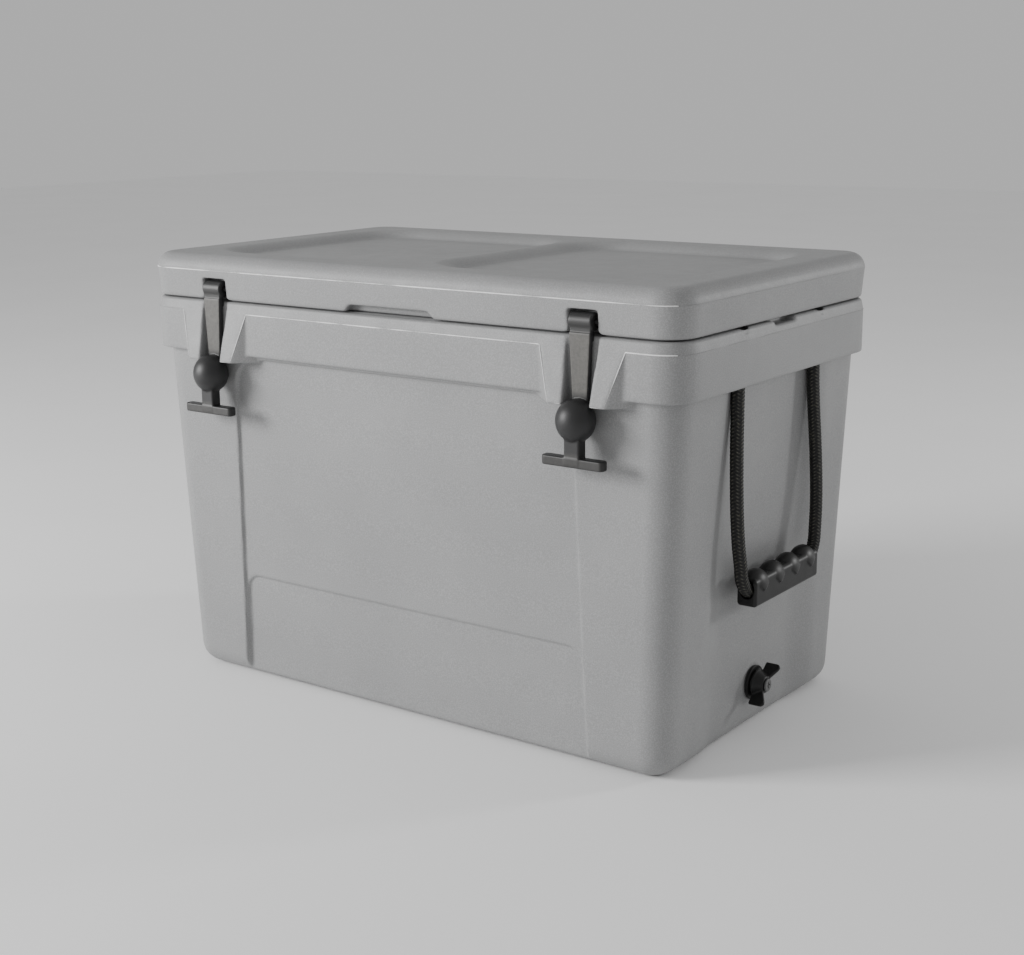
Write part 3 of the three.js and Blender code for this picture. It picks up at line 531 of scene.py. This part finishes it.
def finger_slot(x, y, z):
    """The slot under the lid's front edge, with slanting ends."""
    half = (SLOT["x"][1] - SLOT["x"][0]) / 2
    along = np.abs(x - (SLOT["x"][0] + SLOT["x"][1]) / 2)
    slot = both(along + (z - LID_EDGE) * SLOT_SLANT - half, z - LID_EDGE - SLOT["high"], LID_ROUND["slot"])
    back = -HALF_Y + SLOT["inset"] + SLOT["deep"]
    return both(slot, y - back, LID_ROUND["slot"])


def seal_groove(x, y, z):
    half_x, half_y = (half + GROOVE["outset"] for half in INNER["half"])
    out = np.abs(rectangle(x, y, half_x, half_y, GROOVE["corner"]))
    return both(out - GROOVE["half"], z - LID_EDGE - GROOVE["deep"])


def lid_distance(x, y, z):
    lid = without(lid_outside(x, y, z), lid_trays(x, y, z), LID_ROUND["tray"])
    lid = either(lid, lid_plug(x, y, z), LID_ROUND["plug_root"])
    lid = without(lid, latch_notches(x, y, z), LID_ROUND["notch_mouth"])
    lid = without(lid, finger_slot(x, y, z), LID_ROUND["slot_mouth"])
    return without(lid, seal_groove(x, y, z), LID_ROUND["groove"])


def make_lid():
    xs = spaced((-324, -176, 1.8 * COARSE), (-176, -62, 4), (-62, 70, 2 * COARSE), (70, 176, 4),
                (176, 324, 1.8 * COARSE))
    ys = spaced((-194, -82, 1.8 * COARSE), (-82, 82, 5), (82, 194, 1.8 * COARSE))
    zs = spaced((386, 450, 1.3 * COARSE))
    distance = lid_distance(*grid_of(xs, ys, zs))
    stands_for(skin("lid_moulding", distance, (xs, ys, zs), PLASTIC), "lid", "grey_plastic", "lid_shell")


# The rubber latches -------------------------------------------------------------------------------
def latch_strap(x, y, z):
    """The strap, which narrows downward."""
    part = np.clip((z - STRAP["foot"]) / STRAP["run"], *STRAP_RANGE)
    half = STRAP["half"] + STRAP["widens"] * part
    strap = both(np.abs(x) - half, np.abs(y - STRAP["y"]) - STRAP["half_thick"], STRAP["edge"])
    return both(both(strap, z - STRAP["top"], STRAP["top_edge"]), STRAP["low"] - z)


def latch_distance(x, y, z):
    from_pin = length(y - PIN["y"], z - PIN["z"])
    knuckle = both(from_pin - KNUCKLE["radius"], np.abs(x) - KNUCKLE["half"], KNUCKLE["edge"])
    web = block(x, y, z, WEB["low"], WEB["high"], WEB["edge"])
    ball = ellipsoid(x, y - BALL["y"], z - BALL["z"], BALL["radii"])
    neck = block(x, y, z, NECK["low"], NECK["high"], NECK["edge"])
    bar = rectangle(x, y - T_GRIP["y"], T_GRIP["half_x"], T_GRIP["half_y"], T_GRIP["corner"])
    bar = both(bar, np.abs(z - T_GRIP["z"]) - T_GRIP["half_z"], T_GRIP["edge"])
    whole = either(either(knuckle, web, LATCH_JOIN["web"]), latch_strap(x, y, z), LATCH_JOIN["strap"])
    whole = either(whole, ball, LATCH_JOIN["ball"])
    whole = either(whole, either(neck, bar, LATCH_JOIN["grip"]), LATCH_JOIN["neck"])
    return without(whole, from_pin - PIN["hole"])


def make_latch(name, side):
    latch = small_piece(f"latch_{name}_rubber", latch_distance, LATCH_SPACE["low"], LATCH_SPACE["high"], 0.65,
                        LATCH_RUBBER, (side * LATCH_X, 0, 0))
    stands_for(latch, f"latch_{name}", "black_rubber", f"latch_{name}")


# The rope handles ---------------------------------------------------------------------------------
def rope_line(side):
    """The rope's centre line at one end of the box, from inside the rim through the grip and back."""
    radius = ROPE_BEND["radius"]
    bend = []
    for step in range(ROPE_BEND["steps"] + 1):
        angle = math.pi / 2 * step / ROPE_BEND["steps"]
        bend.append((ROPE_BEND["x"], ROPE_BEND["y"] - radius * (1 - math.cos(angle)),
                     ROPE_BEND["z"] + radius * (1 - math.sin(angle))))
    half = ROPE_LEG + bend + ROPE_RUN
    whole = half + [(x, -y, z) for x, y, z in reversed(half[:-1])]
    return smooth_line([Vector((side * x * MM, side * y * MM, z * MM)) for x, y, z in whole], ROPE_STEP)


def braid_height(around, along):
    """How high the braid stands, 0 to 1, where strands of both hands cross two over, two under."""
    turn = around * STRANDS / (2 * math.pi)
    u = turn + along / BRAID["pitch"]
    v = turn - along / BRAID["pitch"]
    u_over = (np.floor(u) + np.floor(v)) % 4 < 2
    across = np.where(u_over, u % 1, v % 1)
    run_u = ((np.floor(u) + v) % 4) / 2
    run_v = ((np.floor(v) + u) % 4 - 2) / 2
    run = np.clip(np.where(u_over, run_u, run_v), 0, 1)
    crown = np.sqrt(np.maximum(1 - (2 * across - 1) ** 2, 0))
    return crown * np.sqrt(np.maximum(1 - (2 * run - 1) ** 2 * BRAID_FALL, 0))


def braided_tube(name, line):
    even = resampled(line, BRAID["step"])
    along = np.arange(len(even))[:, None] * BRAID["step"]
    around = np.linspace(0, 2 * math.pi, BRAID_AROUND, endpoint=False)[None, :]
    height = braid_height(around, along)
    reach = ROPE["radius"] - BRAID["depth"] * (1 - height)
    piece = tube_of(name, rings_about(even, reach, around), ROPE_FIBRE)
    values = piece.data.attributes.new("height", "FLOAT", "POINT")
    values.data.foreach_set("value", np.asarray(height.ravel(), dtype=np.float32))
    return piece


def make_rope(name, side):
    line = rope_line(side)
    rope = braided_tube(f"handle_{name}_rope_braid", line)
    knots = [make_knot(name, side, sy) for sy in (-1, 1)]
    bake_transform(rope)
    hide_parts(f"handle_{name}_rope", f"handle_{name}_knot_front", f"handle_{name}_knot_back")


def make_knot(name, side, sy):
    """The stopper knot at one end of the rope, in its pocket under the lid."""
    middle = Vector((side * POCKET["x"], side * sy * ROPE["y"], KNOT["z"]))
    turn = np.linspace(0, 2 * math.pi * KNOT_TURNS, KNOT_POINTS)
    line = np.stack([middle.x + KNOT["radius"] * np.cos(turn), middle.y + KNOT["radius"] * np.sin(turn),
                     middle.z - KNOT["half_rise"] + turn / turn[-1] * 2 * KNOT["half_rise"]], axis=1)
    place = "front" if sy * side < 0 else "back"
    knot = braided_tube(f"handle_{name}_knot_{place}_coil", line)
    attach(knot, "tub")
    return knot


def tube_distance(x, y, z, line, radius):
    nearest = np.full(np.broadcast(x, y, z).shape, 1.0, dtype=np.float32)
    for px, py, pz in line:
        nearest = np.minimum(nearest, length(x - px, y - py, z - pz))
    return nearest - radius


def finger_bump(across, along, z):
    """One bump of the hand grip, which ends below in a point."""
    lobe = ellipsoid(across, along, z - BUMP["z"], BUMP["radii"])
    point = (BUMP["crease"] + CREASE_SLOPE * np.abs(along) - z) / math.hypot(1, CREASE_SLOPE)
    return both(lobe, point, BUMP["edge"])


def grip_distance(side):
    def shape(x, y, z):
        across = x - side * GRIP["x"]
        half_x, half_y = GRIP["half"]
        bar = both(np.abs(across) - half_x, np.abs(y) - half_y, GRIP["side_edge"])
        bar = both(bar, GRIP["low"] - z, GRIP["low_edge"])
        bar = both(bar, z - GRIP["high"], GRIP["high_edge"])
        spacing = 2 * half_y / GRIP_BUMPS
        for bump in range(GRIP_BUMPS):
            middle = -half_y + (bump + 0.5) * spacing
            bar = either(bar, finger_bump(across, y - middle, z), BUMP["join"])
        inside = [p for p in rope_line(side) if p[2] < GRIP["bore_top"]][::2]
        return without(bar, tube_distance(x, y, z, inside, GRIP["bore"]), GRIP["bore_edge"])
    return shape


def make_grip(name, side):
    x = side * GRIP["x"]
    half_x, half_y = GRIP_SPACE["half"]
    low = (x - half_x, -half_y, GRIP_SPACE["low"])
    high = (x + half_x, half_y, GRIP_SPACE["high"])
    grip = small_piece(f"handle_{name}_grip_moulding", grip_distance(side), low, high, 0.7, BLACK_PLASTIC)
    stands_for(grip, f"handle_{name}", "black_plastic", f"handle_{name}_grip")


# The drain ----------------------------------------------------------------------------------------
def knob_wings(out, y, up):
    cos = math.cos(WING_TILT)
    sin = math.sin(WING_TILT)
    reach = np.abs(y * cos + up * sin)
    thick = np.abs(up * cos - y * sin) - (WING["thick"] / 2 - reach * WING_THINS)
    wing = both(both(reach - WING["reach"], out - WING["long"], WING["tip_edge"]), thick, WING["edge"])
    rise = out - WING["rise_out"] - (reach - WING["rise_from"]) * WING_SLOPE
    wing = both(wing, rise / math.hypot(1, WING_SLOPE), WING["edge"])
    return both(wing, WING["start"] - out, WING["start_edge"])


def knob_distance(x, y, z):
    out = x - KNOB_X
    up = z - DRAIN["z"]
    from_axis = length(y, up)
    cone = from_axis - (CONE["radius"] - (out - CONE["start"]) * CONE_SLOPE)
    cone = both(cone / math.hypot(1, CONE_SLOPE), np.abs(out - CONE["middle"]) - CONE["half"], CONE["edge"])
    knob = either(cone, along_axis(from_axis, out, DISC), KNOB_JOIN["disc"])
    knob = either(knob, along_axis(from_axis, out, STEM))
    knob = either(knob, knob_wings(out, y, up), KNOB_JOIN["wing"])
    return without(knob, both(from_axis - KNOB_JOIN["screw_hole"], -out))


def screw_distance(x, y, z):
    out = x - (KNOB_X + SCREW["out"])
    up = z - DRAIN["z"]
    from_axis = length(y, up)
    head = along_axis(from_axis, out, SCREW)
    shank = both(from_axis - SCREW["shank"], np.abs(out - SCREW["shank_middle"]) - SCREW["shank_half"])
    slots = either(np.maximum(np.abs(y) - SCREW["slot"], np.abs(up) - SCREW["slot_reach"]),
                   np.maximum(np.abs(up) - SCREW["slot"], np.abs(y) - SCREW["slot_reach"]))
    return without(either(head, shank), both(slots, SCREW["slot_floor"] - out), SCREW["slot_edge"])


def make_plug_piece(name, shape, space, step, material):
    low = (KNOB_X - space["back"], -space["half"], DRAIN["z"] - space["half"])
    high = (KNOB_X + space["front"], space["half"], DRAIN["z"] + space["half"])
    return small_piece(name, shape, low, high, step, material)


def make_drain():
    knob = make_plug_piece("drain_knob_moulding", knob_distance, KNOB_SPACE, 0.45, BLACK_PLASTIC)
    stands_for(knob, "drain_cap", "black_plastic", "drain_knob")
    screw = make_plug_piece("drain_screw_head", screw_distance, SCREW_SPACE, 0.25, DULL_ZINC)
    stands_for(screw, "drain_cap", "steel", "drain_screw")
    spout = turned("drain_spout_flange", SPOUT_PROFILE, BLACK_PLASTIC)
    stands_for(spout, "tub", "black_plastic", "drain_spout")


def drain_point(r, x, angle):
    """A point about the drain's axis, from its radius and x in millimetres."""
    return x * MM, r * MM * math.cos(angle), DRAIN["z"] + r * MM * math.sin(angle)


def turned(name, profile, material):
    """A closed ring turned about the drain's axis: profile holds (radius, x) in millimetres."""
    form = bmesh.new()
    rings = []
    for step in range(TURNED_SIDES):
        angle = 2 * math.pi * step / TURNED_SIDES
        rings.append([form.verts.new(drain_point(r, x, angle)) for r, x in profile])
    for step in range(TURNED_SIDES):
        here = rings[step]
        after = rings[(step + 1) % TURNED_SIDES]
        for k in range(len(profile)):
            following = (k + 1) % len(profile)
            form.faces.new((here[k], here[following], after[following], after[k]))
    bmesh.ops.recalc_face_normals(form, faces=form.faces)
    mesh = bpy.data.meshes.new(name)
    form.to_mesh(mesh)
    form.free()
    mesh.materials.append(material)
    piece = shown(name, mesh)
    round_edges(piece, METAL_EDGE)
    return piece


# The hinges ---------------------------------------------------------------------------------------
def rounded_copy(node):
    """A copy of a CAD node with its edges rounded, which stands for it."""
    source = CAD[node]
    mesh = source.data.copy()
    form = bmesh.new()
    form.from_mesh(mesh)
    bmesh.ops.remove_doubles(form, verts=form.verts, dist=WELD)
    form.to_mesh(mesh)
    form.free()
    mesh.materials.clear()
    mesh.materials.append(STEEL)
    piece = shown(node + "_rounded", mesh)
    piece.matrix_world = source.matrix_world
    round_edges(piece, METAL_EDGE, 2)
    part = next(p for p in frame["record"]["subparts"] if p["node"] == node)
    stands_for(piece, BODY_OF[node], part["material_slot"], node)


# Thin moulding flash along the parting lines ------------------------------------------------------
def flash(name, line, body, seed, material, radius):
    """A fine ridge along a line, broken up at random, as a mould's parting line leaves it."""
    even = resampled(np.array(line), FLASH_SIZE["step"])
    random = np.random.default_rng(seed)
    run = FLASH_ROUGH["run"]
    knots = np.arange(0, len(even) + 2 * run, run)
    rough = np.interp(np.arange(len(even)), knots, random.random(len(knots)))
    grain = random.random(len(even)) * FLASH_ROUGH["grain"]
    size = (rough - FLASH_ROUGH["gaps"]) * FLASH_ROUGH["gain"] + grain * FLASH_ROUGH["grain_gain"]
    size = np.clip(size, FLASH_ROUGH["least"], 1) * radius
    around = np.linspace(0, 2 * math.pi, FLASH_SIDES, endpoint=False)[None, :]
    piece = tube_of(name, rings_about(even, size[:, None], around), material)
    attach(piece, body)


def corner_line(z, start, end, sx, sy):
    """Points round one vertical corner of the rim at a height, between two angles in quarter turns."""
    points = []
    for angle in np.linspace(start * math.pi / 2, end * math.pi / 2, CORNER_POINTS):
        points.append((sx * (HALF_X - RIM_CORNER) + RIM_CORNER * math.cos(angle),
                       sy * (HALF_Y - RIM_CORNER) + RIM_CORNER * math.sin(angle), z))
    return points


def keeper_edge(x, side):
    """From the rim's crease down the slanting outer edge of a wedge and in along its foot."""
    front = -HALF_Y - KEEPER["proud"] + FLASH_SIZE["inside"]
    foot = CHANNEL["low"] + FLASH_SIZE["over_foot"]
    return [(x + side * KEEPER["apex"], -HALF_Y, CREASE), (x + side * KEEPER["front"], front, foot),
            (x + side * (CHANNEL["low_half"] + FLASH_SIZE["past_channel"]), front, foot)]


def make_rim_flash():
    gap = LATCH_X + KEEPER["apex"]
    inner = LATCH_X - KEEPER["apex"]
    # Painted highlight: the lines on the front and the wedges, which face the key light, are near-white; the
    # round lines keep the plain plastic
    right = [(gap, -HALF_Y, CREASE)] + corner_line(CREASE, -1, -0.5, 1, -1)
    flash("rim_flash_right", right, "tub", 13, FLASH_PAINTED_HIGHLIGHT, FLASH_SIZE["front"])
    ring = corner_line(CREASE, -0.5, 0, 1, -1) + corner_line(CREASE, 0, 1, 1, 1)
    ring += corner_line(CREASE, 1, 2, -1, 1) + corner_line(CREASE, 2, 3, -1, -1) + [(-gap, -HALF_Y, CREASE)]
    flash("rim_flash_round", ring, "tub", 11, PLASTIC, FLASH_SIZE["round"])
    front = [(-inner, -HALF_Y, CREASE), (inner, -HALF_Y, CREASE)]
    flash("rim_flash_front", front, "tub", 12, FLASH_PAINTED_HIGHLIGHT, FLASH_SIZE["front"])
    for index, x in enumerate((-LATCH_X, LATCH_X)):
        for side, letter in ((-1, "a"), (1, "b")):
            flash(f"wedge_flash_{index}_{letter}", keeper_edge(x, side), "tub", 20 + 2 * index + side,
                  FLASH_PAINTED_HIGHLIGHT, FLASH_SIZE["wedge"])


def make_lid_flash():
    # Painted highlight: the front line is near-white, the round line keeps the plain plastic
    front = corner_line(LID_CREASE, 2.5, 3, -1, -1) + corner_line(LID_CREASE, -1, -0.5, 1, -1)
    flash("lid_flash_front", front, "lid", 31, FLASH_PAINTED_HIGHLIGHT, FLASH_SIZE["front"])
    ring = corner_line(LID_CREASE, -0.5, 0, 1, -1) + corner_line(LID_CREASE, 0, 1, 1, 1)
    ring += corner_line(LID_CREASE, 1, 2, -1, 1) + corner_line(LID_CREASE, 2, 2.5, -1, -1)
    flash("lid_flash_round", ring, "lid", 32, PLASTIC, FLASH_SIZE["round"])


# Node-based materials -----------------------------------------------------------------------------
def new_material(name):
    material = bpy.data.materials.new(name)
    material.use_nodes = True
    nodes = material.node_tree.nodes
    return material, nodes, material.node_tree.links, nodes["Principled BSDF"]


def noise(nodes, links, coords, scale, detail=3.0, roughness=0.55, stretch=None):
    node = nodes.new("ShaderNodeTexNoise")
    node.inputs["Scale"].default_value = scale
    node.inputs["Detail"].default_value = detail
    node.inputs["Roughness"].default_value = roughness
    source = coords
    if stretch:
        mapping = nodes.new("ShaderNodeMapping")
        mapping.inputs["Scale"].default_value = stretch
        links.new(coords, mapping.inputs["Vector"])
        source = mapping.outputs["Vector"]
    links.new(source, node.inputs["Vector"])
    return node.outputs["Fac"]


def ramp(nodes, links, factor, stops):
    node = nodes.new("ShaderNodeValToRGB")
    elements = node.color_ramp.elements
    while len(elements) < len(stops):
        elements.new(0.5)
    for element, (place, colour) in zip(elements, stops):
        element.position = place
        element.color = (*colour, 1)
    links.new(factor, node.inputs["Fac"])
    return node.outputs["Color"]


def mixed(nodes, links, kind, a, b, amount):
    """Two colours mixed. a and b are sockets or colours, and amount is a socket or a number."""
    node = nodes.new("ShaderNodeMix")
    node.data_type = "RGBA"
    node.blend_type = kind
    for value, socket in ((amount, node.inputs["Factor"]), (a, node.inputs[6]), (b, node.inputs[7])):
        if isinstance(value, (float, tuple)):
            socket.default_value = value
        else:
            links.new(value, socket)
    return node.outputs[2]


def times(nodes, links, a, b):
    """The product of a socket and another socket or a number."""
    node = nodes.new("ShaderNodeMath")
    node.operation = "MULTIPLY"
    links.new(a, node.inputs[0])
    if isinstance(b, float):
        node.inputs[1].default_value = b
    else:
        links.new(b, node.inputs[1])
    return node.outputs[0]


def scaled(nodes, links, value, low, high):
    """Maps low to high onto 0 to 1."""
    node = nodes.new("ShaderNodeMapRange")
    node.inputs["From Min"].default_value = low
    node.inputs["From Max"].default_value = high
    links.new(value, node.inputs["Value"])
    return node.outputs["Result"]


def bump(nodes, links, height, strength, distance, before=None):
    node = nodes.new("ShaderNodeBump")
    node.inputs["Strength"].default_value = strength
    node.inputs["Distance"].default_value = distance
    links.new(height, node.inputs["Height"])
    if before is not None:
        links.new(before, node.inputs["Normal"])
    return node.outputs["Normal"]


def object_coords(nodes):
    return nodes.new("ShaderNodeTexCoord").outputs["Object"]


def parts_of(nodes, links, vector):
    node = nodes.new("ShaderNodeSeparateXYZ")
    links.new(vector, node.inputs["Vector"])
    return node.outputs


def grey(value, warm=0.0):
    return (value * (1 + warm), value, value * (1 - warm))


def moulded_plastic():
    """Rotomoulded polyethylene: a fine sandy grain, slow cloudy patches and tiny paler specks."""
    material, nodes, links, shader = new_material("moulded_polyethylene")
    coords = object_coords(nodes)
    clouds = noise(nodes, links, coords, 7, 3)
    specks = noise(nodes, links, coords, 900, 2, 0.7)
    base = ramp(nodes, links, clouds, [(0.3, grey(0.262, -0.006)), (0.7, grey(0.290, -0.004))])
    pale = ramp(nodes, links, specks, [(0.42, grey(0.90)), (0.68, grey(1.16))])
    links.new(mixed(nodes, links, "MULTIPLY", base, pale, 1.0), shader.inputs["Base Color"])
    rough = ramp(nodes, links, noise(nodes, links, coords, 60, 4), [(0.3, grey(0.47)), (0.7, grey(0.56))])
    links.new(rough, shader.inputs["Roughness"])
    coarse = bump(nodes, links, noise(nodes, links, coords, 14, 2), 0.25, 0.004)
    fine = bump(nodes, links, noise(nodes, links, coords, 650, 3, 0.65), 0.35, 0.0006, coarse)
    links.new(fine, shader.inputs["Normal"])
    shader.inputs["Specular IOR Level"].default_value = 0.42
    return material


def rubber(name, value, rough, grain=0.3, shine=0.5):
    """A plain dark finish, faintly patchy and grained."""
    material, nodes, links, shader = new_material(name)
    coords = object_coords(nodes)
    patches = noise(nodes, links, coords, 45, 4)
    colour = ramp(nodes, links, patches, [(0.3, grey(value * 0.85)), (0.7, grey(value * 1.2))])
    links.new(colour, shader.inputs["Base Color"])
    dull = ramp(nodes, links, patches, [(0.3, grey(rough - 0.05)), (0.7, grey(rough + 0.06))])
    links.new(dull, shader.inputs["Roughness"])
    grains = noise(nodes, links, coords, 1400, 2)
    links.new(bump(nodes, links, grains, grain, 0.0003), shader.inputs["Normal"])
    shader.inputs["Specular IOR Level"].default_value = shine
    return material


def foam_material():
    material, nodes, links, shader = new_material("cream_foam")
    coords = object_coords(nodes)
    cells = noise(nodes, links, coords, 300, 4)
    links.new(ramp(nodes, links, cells, [(0.3, (0.62, 0.5, 0.27)), (0.7, (0.82, 0.7, 0.42))]),
              shader.inputs["Base Color"])
    links.new(bump(nodes, links, cells, 0.5, 0.001), shader.inputs["Normal"])
    shader.inputs["Roughness"].default_value = 0.9
    return material


def steel_material():
    material, nodes, links, shader = new_material("brushed_stainless")
    coords = object_coords(nodes)
    lines = noise(nodes, links, coords, 40, 5, 0.7, (1, 1, 60))
    links.new(ramp(nodes, links, lines, [(0.3, grey(0.50)), (0.7, grey(0.62))]), shader.inputs["Base Color"])
    links.new(ramp(nodes, links, lines, [(0.3, grey(0.26)), (0.7, grey(0.40))]), shader.inputs["Roughness"])
    links.new(bump(nodes, links, lines, 0.08, 0.0003), shader.inputs["Normal"])
    shader.inputs["Metallic"].default_value = 1.0
    return material


def rope_material():
    """Near-black braid, painted darkest in the valleys between strands as painted shade and paler at the
    strands' crests, with a few tan and green flecks.
    """
    material, nodes, links, shader = new_material("braided_rope")
    coords = object_coords(nodes)
    height = nodes.new("ShaderNodeAttribute")
    height.attribute_name = "height"
    # Painted shade: the lower the braid stands, the darker its colour; the crests are paler
    shaded_valleys_and_pale_crests = ramp(nodes, links, height.outputs["Fac"],
                  [(0.5, grey(0.003)), (0.88, (0.014, 0.014, 0.013)), (1.0, (0.09, 0.086, 0.07))])
    flecks = ramp(nodes, links, noise(nodes, links, coords, 420, 2, 0.6),
                  [(0.60, (0, 0, 0)), (0.72, (0.16, 0.15, 0.10))])
    links.new(mixed(nodes, links, "ADD", shaded_valleys_and_pale_crests, flecks, 0.3), shader.inputs["Base Color"])
    links.new(bump(nodes, links, noise(nodes, links, coords, 2500, 2), 0.5, 0.0004), shader.inputs["Normal"])
    shader.inputs["Roughness"].default_value = 0.72
    return material


def latch_material():
    """Satin black rubber, painted greyer on the faces that look forward, where the key light falls: the strap
    and the grip's bar. The grey is part painted light, part dust.
    """
    material, nodes, links, shader = new_material("latch_rubber_painted_light")
    texture = nodes.new("ShaderNodeTexCoord")
    coords = texture.outputs["Object"]
    backward = parts_of(nodes, links, texture.outputs["Normal"])["Y"]
    # Painted light: faces that look forward, toward the key light, get the paler grey
    lit_front_mask = ramp(nodes, links, times(nodes, links, backward, -1.0), [(0.80, grey(0)), (0.97, grey(1))])
    height = scaled(nodes, links, parts_of(nodes, links, coords)["Z"], 0.27, 0.43)
    # How much painted light and dust each part gets, by height: the grip's bar a little, none on the neck and
    # ball, the strap most, the knuckle a little
    lit_and_dusty_parts = ramp(nodes, links, height,
                 [(0.0, grey(0.25)), (0.18, grey(0.25)), (0.20, grey(0)), (0.48, grey(0)), (0.52, grey(1)),
                  (0.83, grey(1)), (0.845, grey(0.12)), (1.0, grey(0.12))])
    dust_and_light_patches = ramp(nodes, links, noise(nodes, links, coords, 260, 4, 0.7), [(0.3, grey(0.55)), (0.7, grey(1))])
    amount = times(nodes, links, times(nodes, links, lit_front_mask, lit_and_dusty_parts), dust_and_light_patches)
    # The paler grey is painted light mixed with dust, on the forward faces only
    colour = mixed(nodes, links, "MIX", (0.014, 0.014, 0.0145, 1), (0.112, 0.107, 0.098, 1), amount)
    links.new(colour, shader.inputs["Base Color"])
    links.new(bump(nodes, links, noise(nodes, links, coords, 1100, 3), 0.25, 0.0004), shader.inputs["Normal"])
    shader.inputs["Roughness"].default_value = 0.46
    return material


def floor_material():
    material, nodes, links, shader = new_material("pale_floor")
    clouds = noise(nodes, links, object_coords(nodes), 3, 2)
    shade = ramp(nodes, links, clouds, [(0.3, grey(0.94)), (0.7, grey(0.96))])
    links.new(shade, shader.inputs["Base Color"])
    shader.inputs["Roughness"].default_value = 0.9
    return material


# The camera, floor and lights ---------------------------------------------------------------------
def make_camera():
    camera = shown("camera", bpy.data.cameras.new("camera"))
    yaw, pitch, roll = (math.radians(CAMERA[k]) for k in ("yaw", "pitch", "roll"))
    turn = Matrix.Rotation(yaw, 4, "Z") @ Matrix.Rotation(math.pi / 2 - pitch, 4, "X")
    turn = turn @ Matrix.Rotation(roll, 4, "Z")
    camera.matrix_world = Matrix.Translation(CAMERA["place"]) @ turn
    camera.data.lens = CAMERA["lens"]
    camera.data.sensor_width = 36
    bpy.context.scene.camera = camera


def area_light(name, place, target, size, power):
    light = bpy.data.lights.new(name, "AREA")
    light.shape = "RECTANGLE"
    light.size = size
    light.size_y = size
    light.energy = power
    lamp = shown(name, light)
    lamp.location = place
    lamp.rotation_euler = (Vector(target) - Vector(place)).to_track_quat("-Z", "Y").to_euler()


def make_studio():
    mesh = bpy.data.meshes.new("floor")
    form = bmesh.new()
    bmesh.ops.create_grid(form, x_segments=1, y_segments=1, size=FLOOR_HALF)
    form.to_mesh(mesh)
    form.free()
    mesh.materials.append(floor_material())
    floor = shown("floor", mesh)
    floor.location.z = FLOOR_Z
    world = bpy.data.worlds.new("studio")
    world.use_nodes = True
    background = world.node_tree.nodes["Background"]
    background.inputs["Color"].default_value = (1, 1, 1, 1)
    background.inputs["Strength"].default_value = SKY
    bpy.context.scene.world = world
    for name, settings in LIGHTS.items():
        area_light(name, *settings)


# The whole cooler box -----------------------------------------------------------------------------
def dress_cad_nodes():
    """Gives each CAD node the finish of its material slot. The latch pins are painted near-black, as painted
    shade for the dark gaps beside the knuckles.
    """
    for part in frame["record"]["subparts"]:
        mesh = CAD[part["node"]].data
        mesh.materials.clear()
        latch_pin = part["node"].startswith("latch_") and part["node"].endswith("_pin")
        mesh.materials.append(PIN_PAINTED_SHADE if latch_pin else FINISHES[part["material_slot"]])


BODY_OF = {node: body for body, nodes in frame["record"]["behaviour"]["bodies"].items() for node in nodes}

make_camera()
make_studio()
PLASTIC = moulded_plastic()
BLACK_RUBBER = rubber("black_rubber", 0.02, 0.5)
SEAL_RUBBER = rubber("seal_rubber", 0.05, 0.6)
BLACK_PLASTIC = rubber("black_nylon", 0.008, 0.42, 0.15, 0.32)
ROPE_FIBRE = rope_material()
STEEL = steel_material()
DULL_ZINC = rubber("dull_zinc", 0.1, 0.45)
# Painted shade: near-black latch pins, so that the gaps beside the knuckles read dark
PIN_PAINTED_SHADE = rubber("pin_steel_painted_shade", 0.01, 0.55)
# Painted highlight: a near-white finish for the flash lines that face the key light
FLASH_PAINTED_HIGHLIGHT = rubber("flash_painted_highlight", 0.85, 0.5)
LATCH_RUBBER = latch_material()
FINISHES = {"grey_plastic": PLASTIC, "foam": foam_material(), "black_rubber": BLACK_RUBBER,
            "seal_rubber": SEAL_RUBBER, "rope": ROPE_FIBRE, "black_plastic": BLACK_PLASTIC, "steel": STEEL}

dress_cad_nodes()
for end_name, end in (("left", -1), ("right", 1)):
    make_rope(end_name, end)
    make_grip(end_name, end)
    make_latch(end_name, end)
make_drain()
make_rim_flash()
make_lid_flash()
for hinge_part in [n for n in CAD if n.startswith("hinge_")]:
    rounded_copy(hinge_part)
make_body()
make_lid()
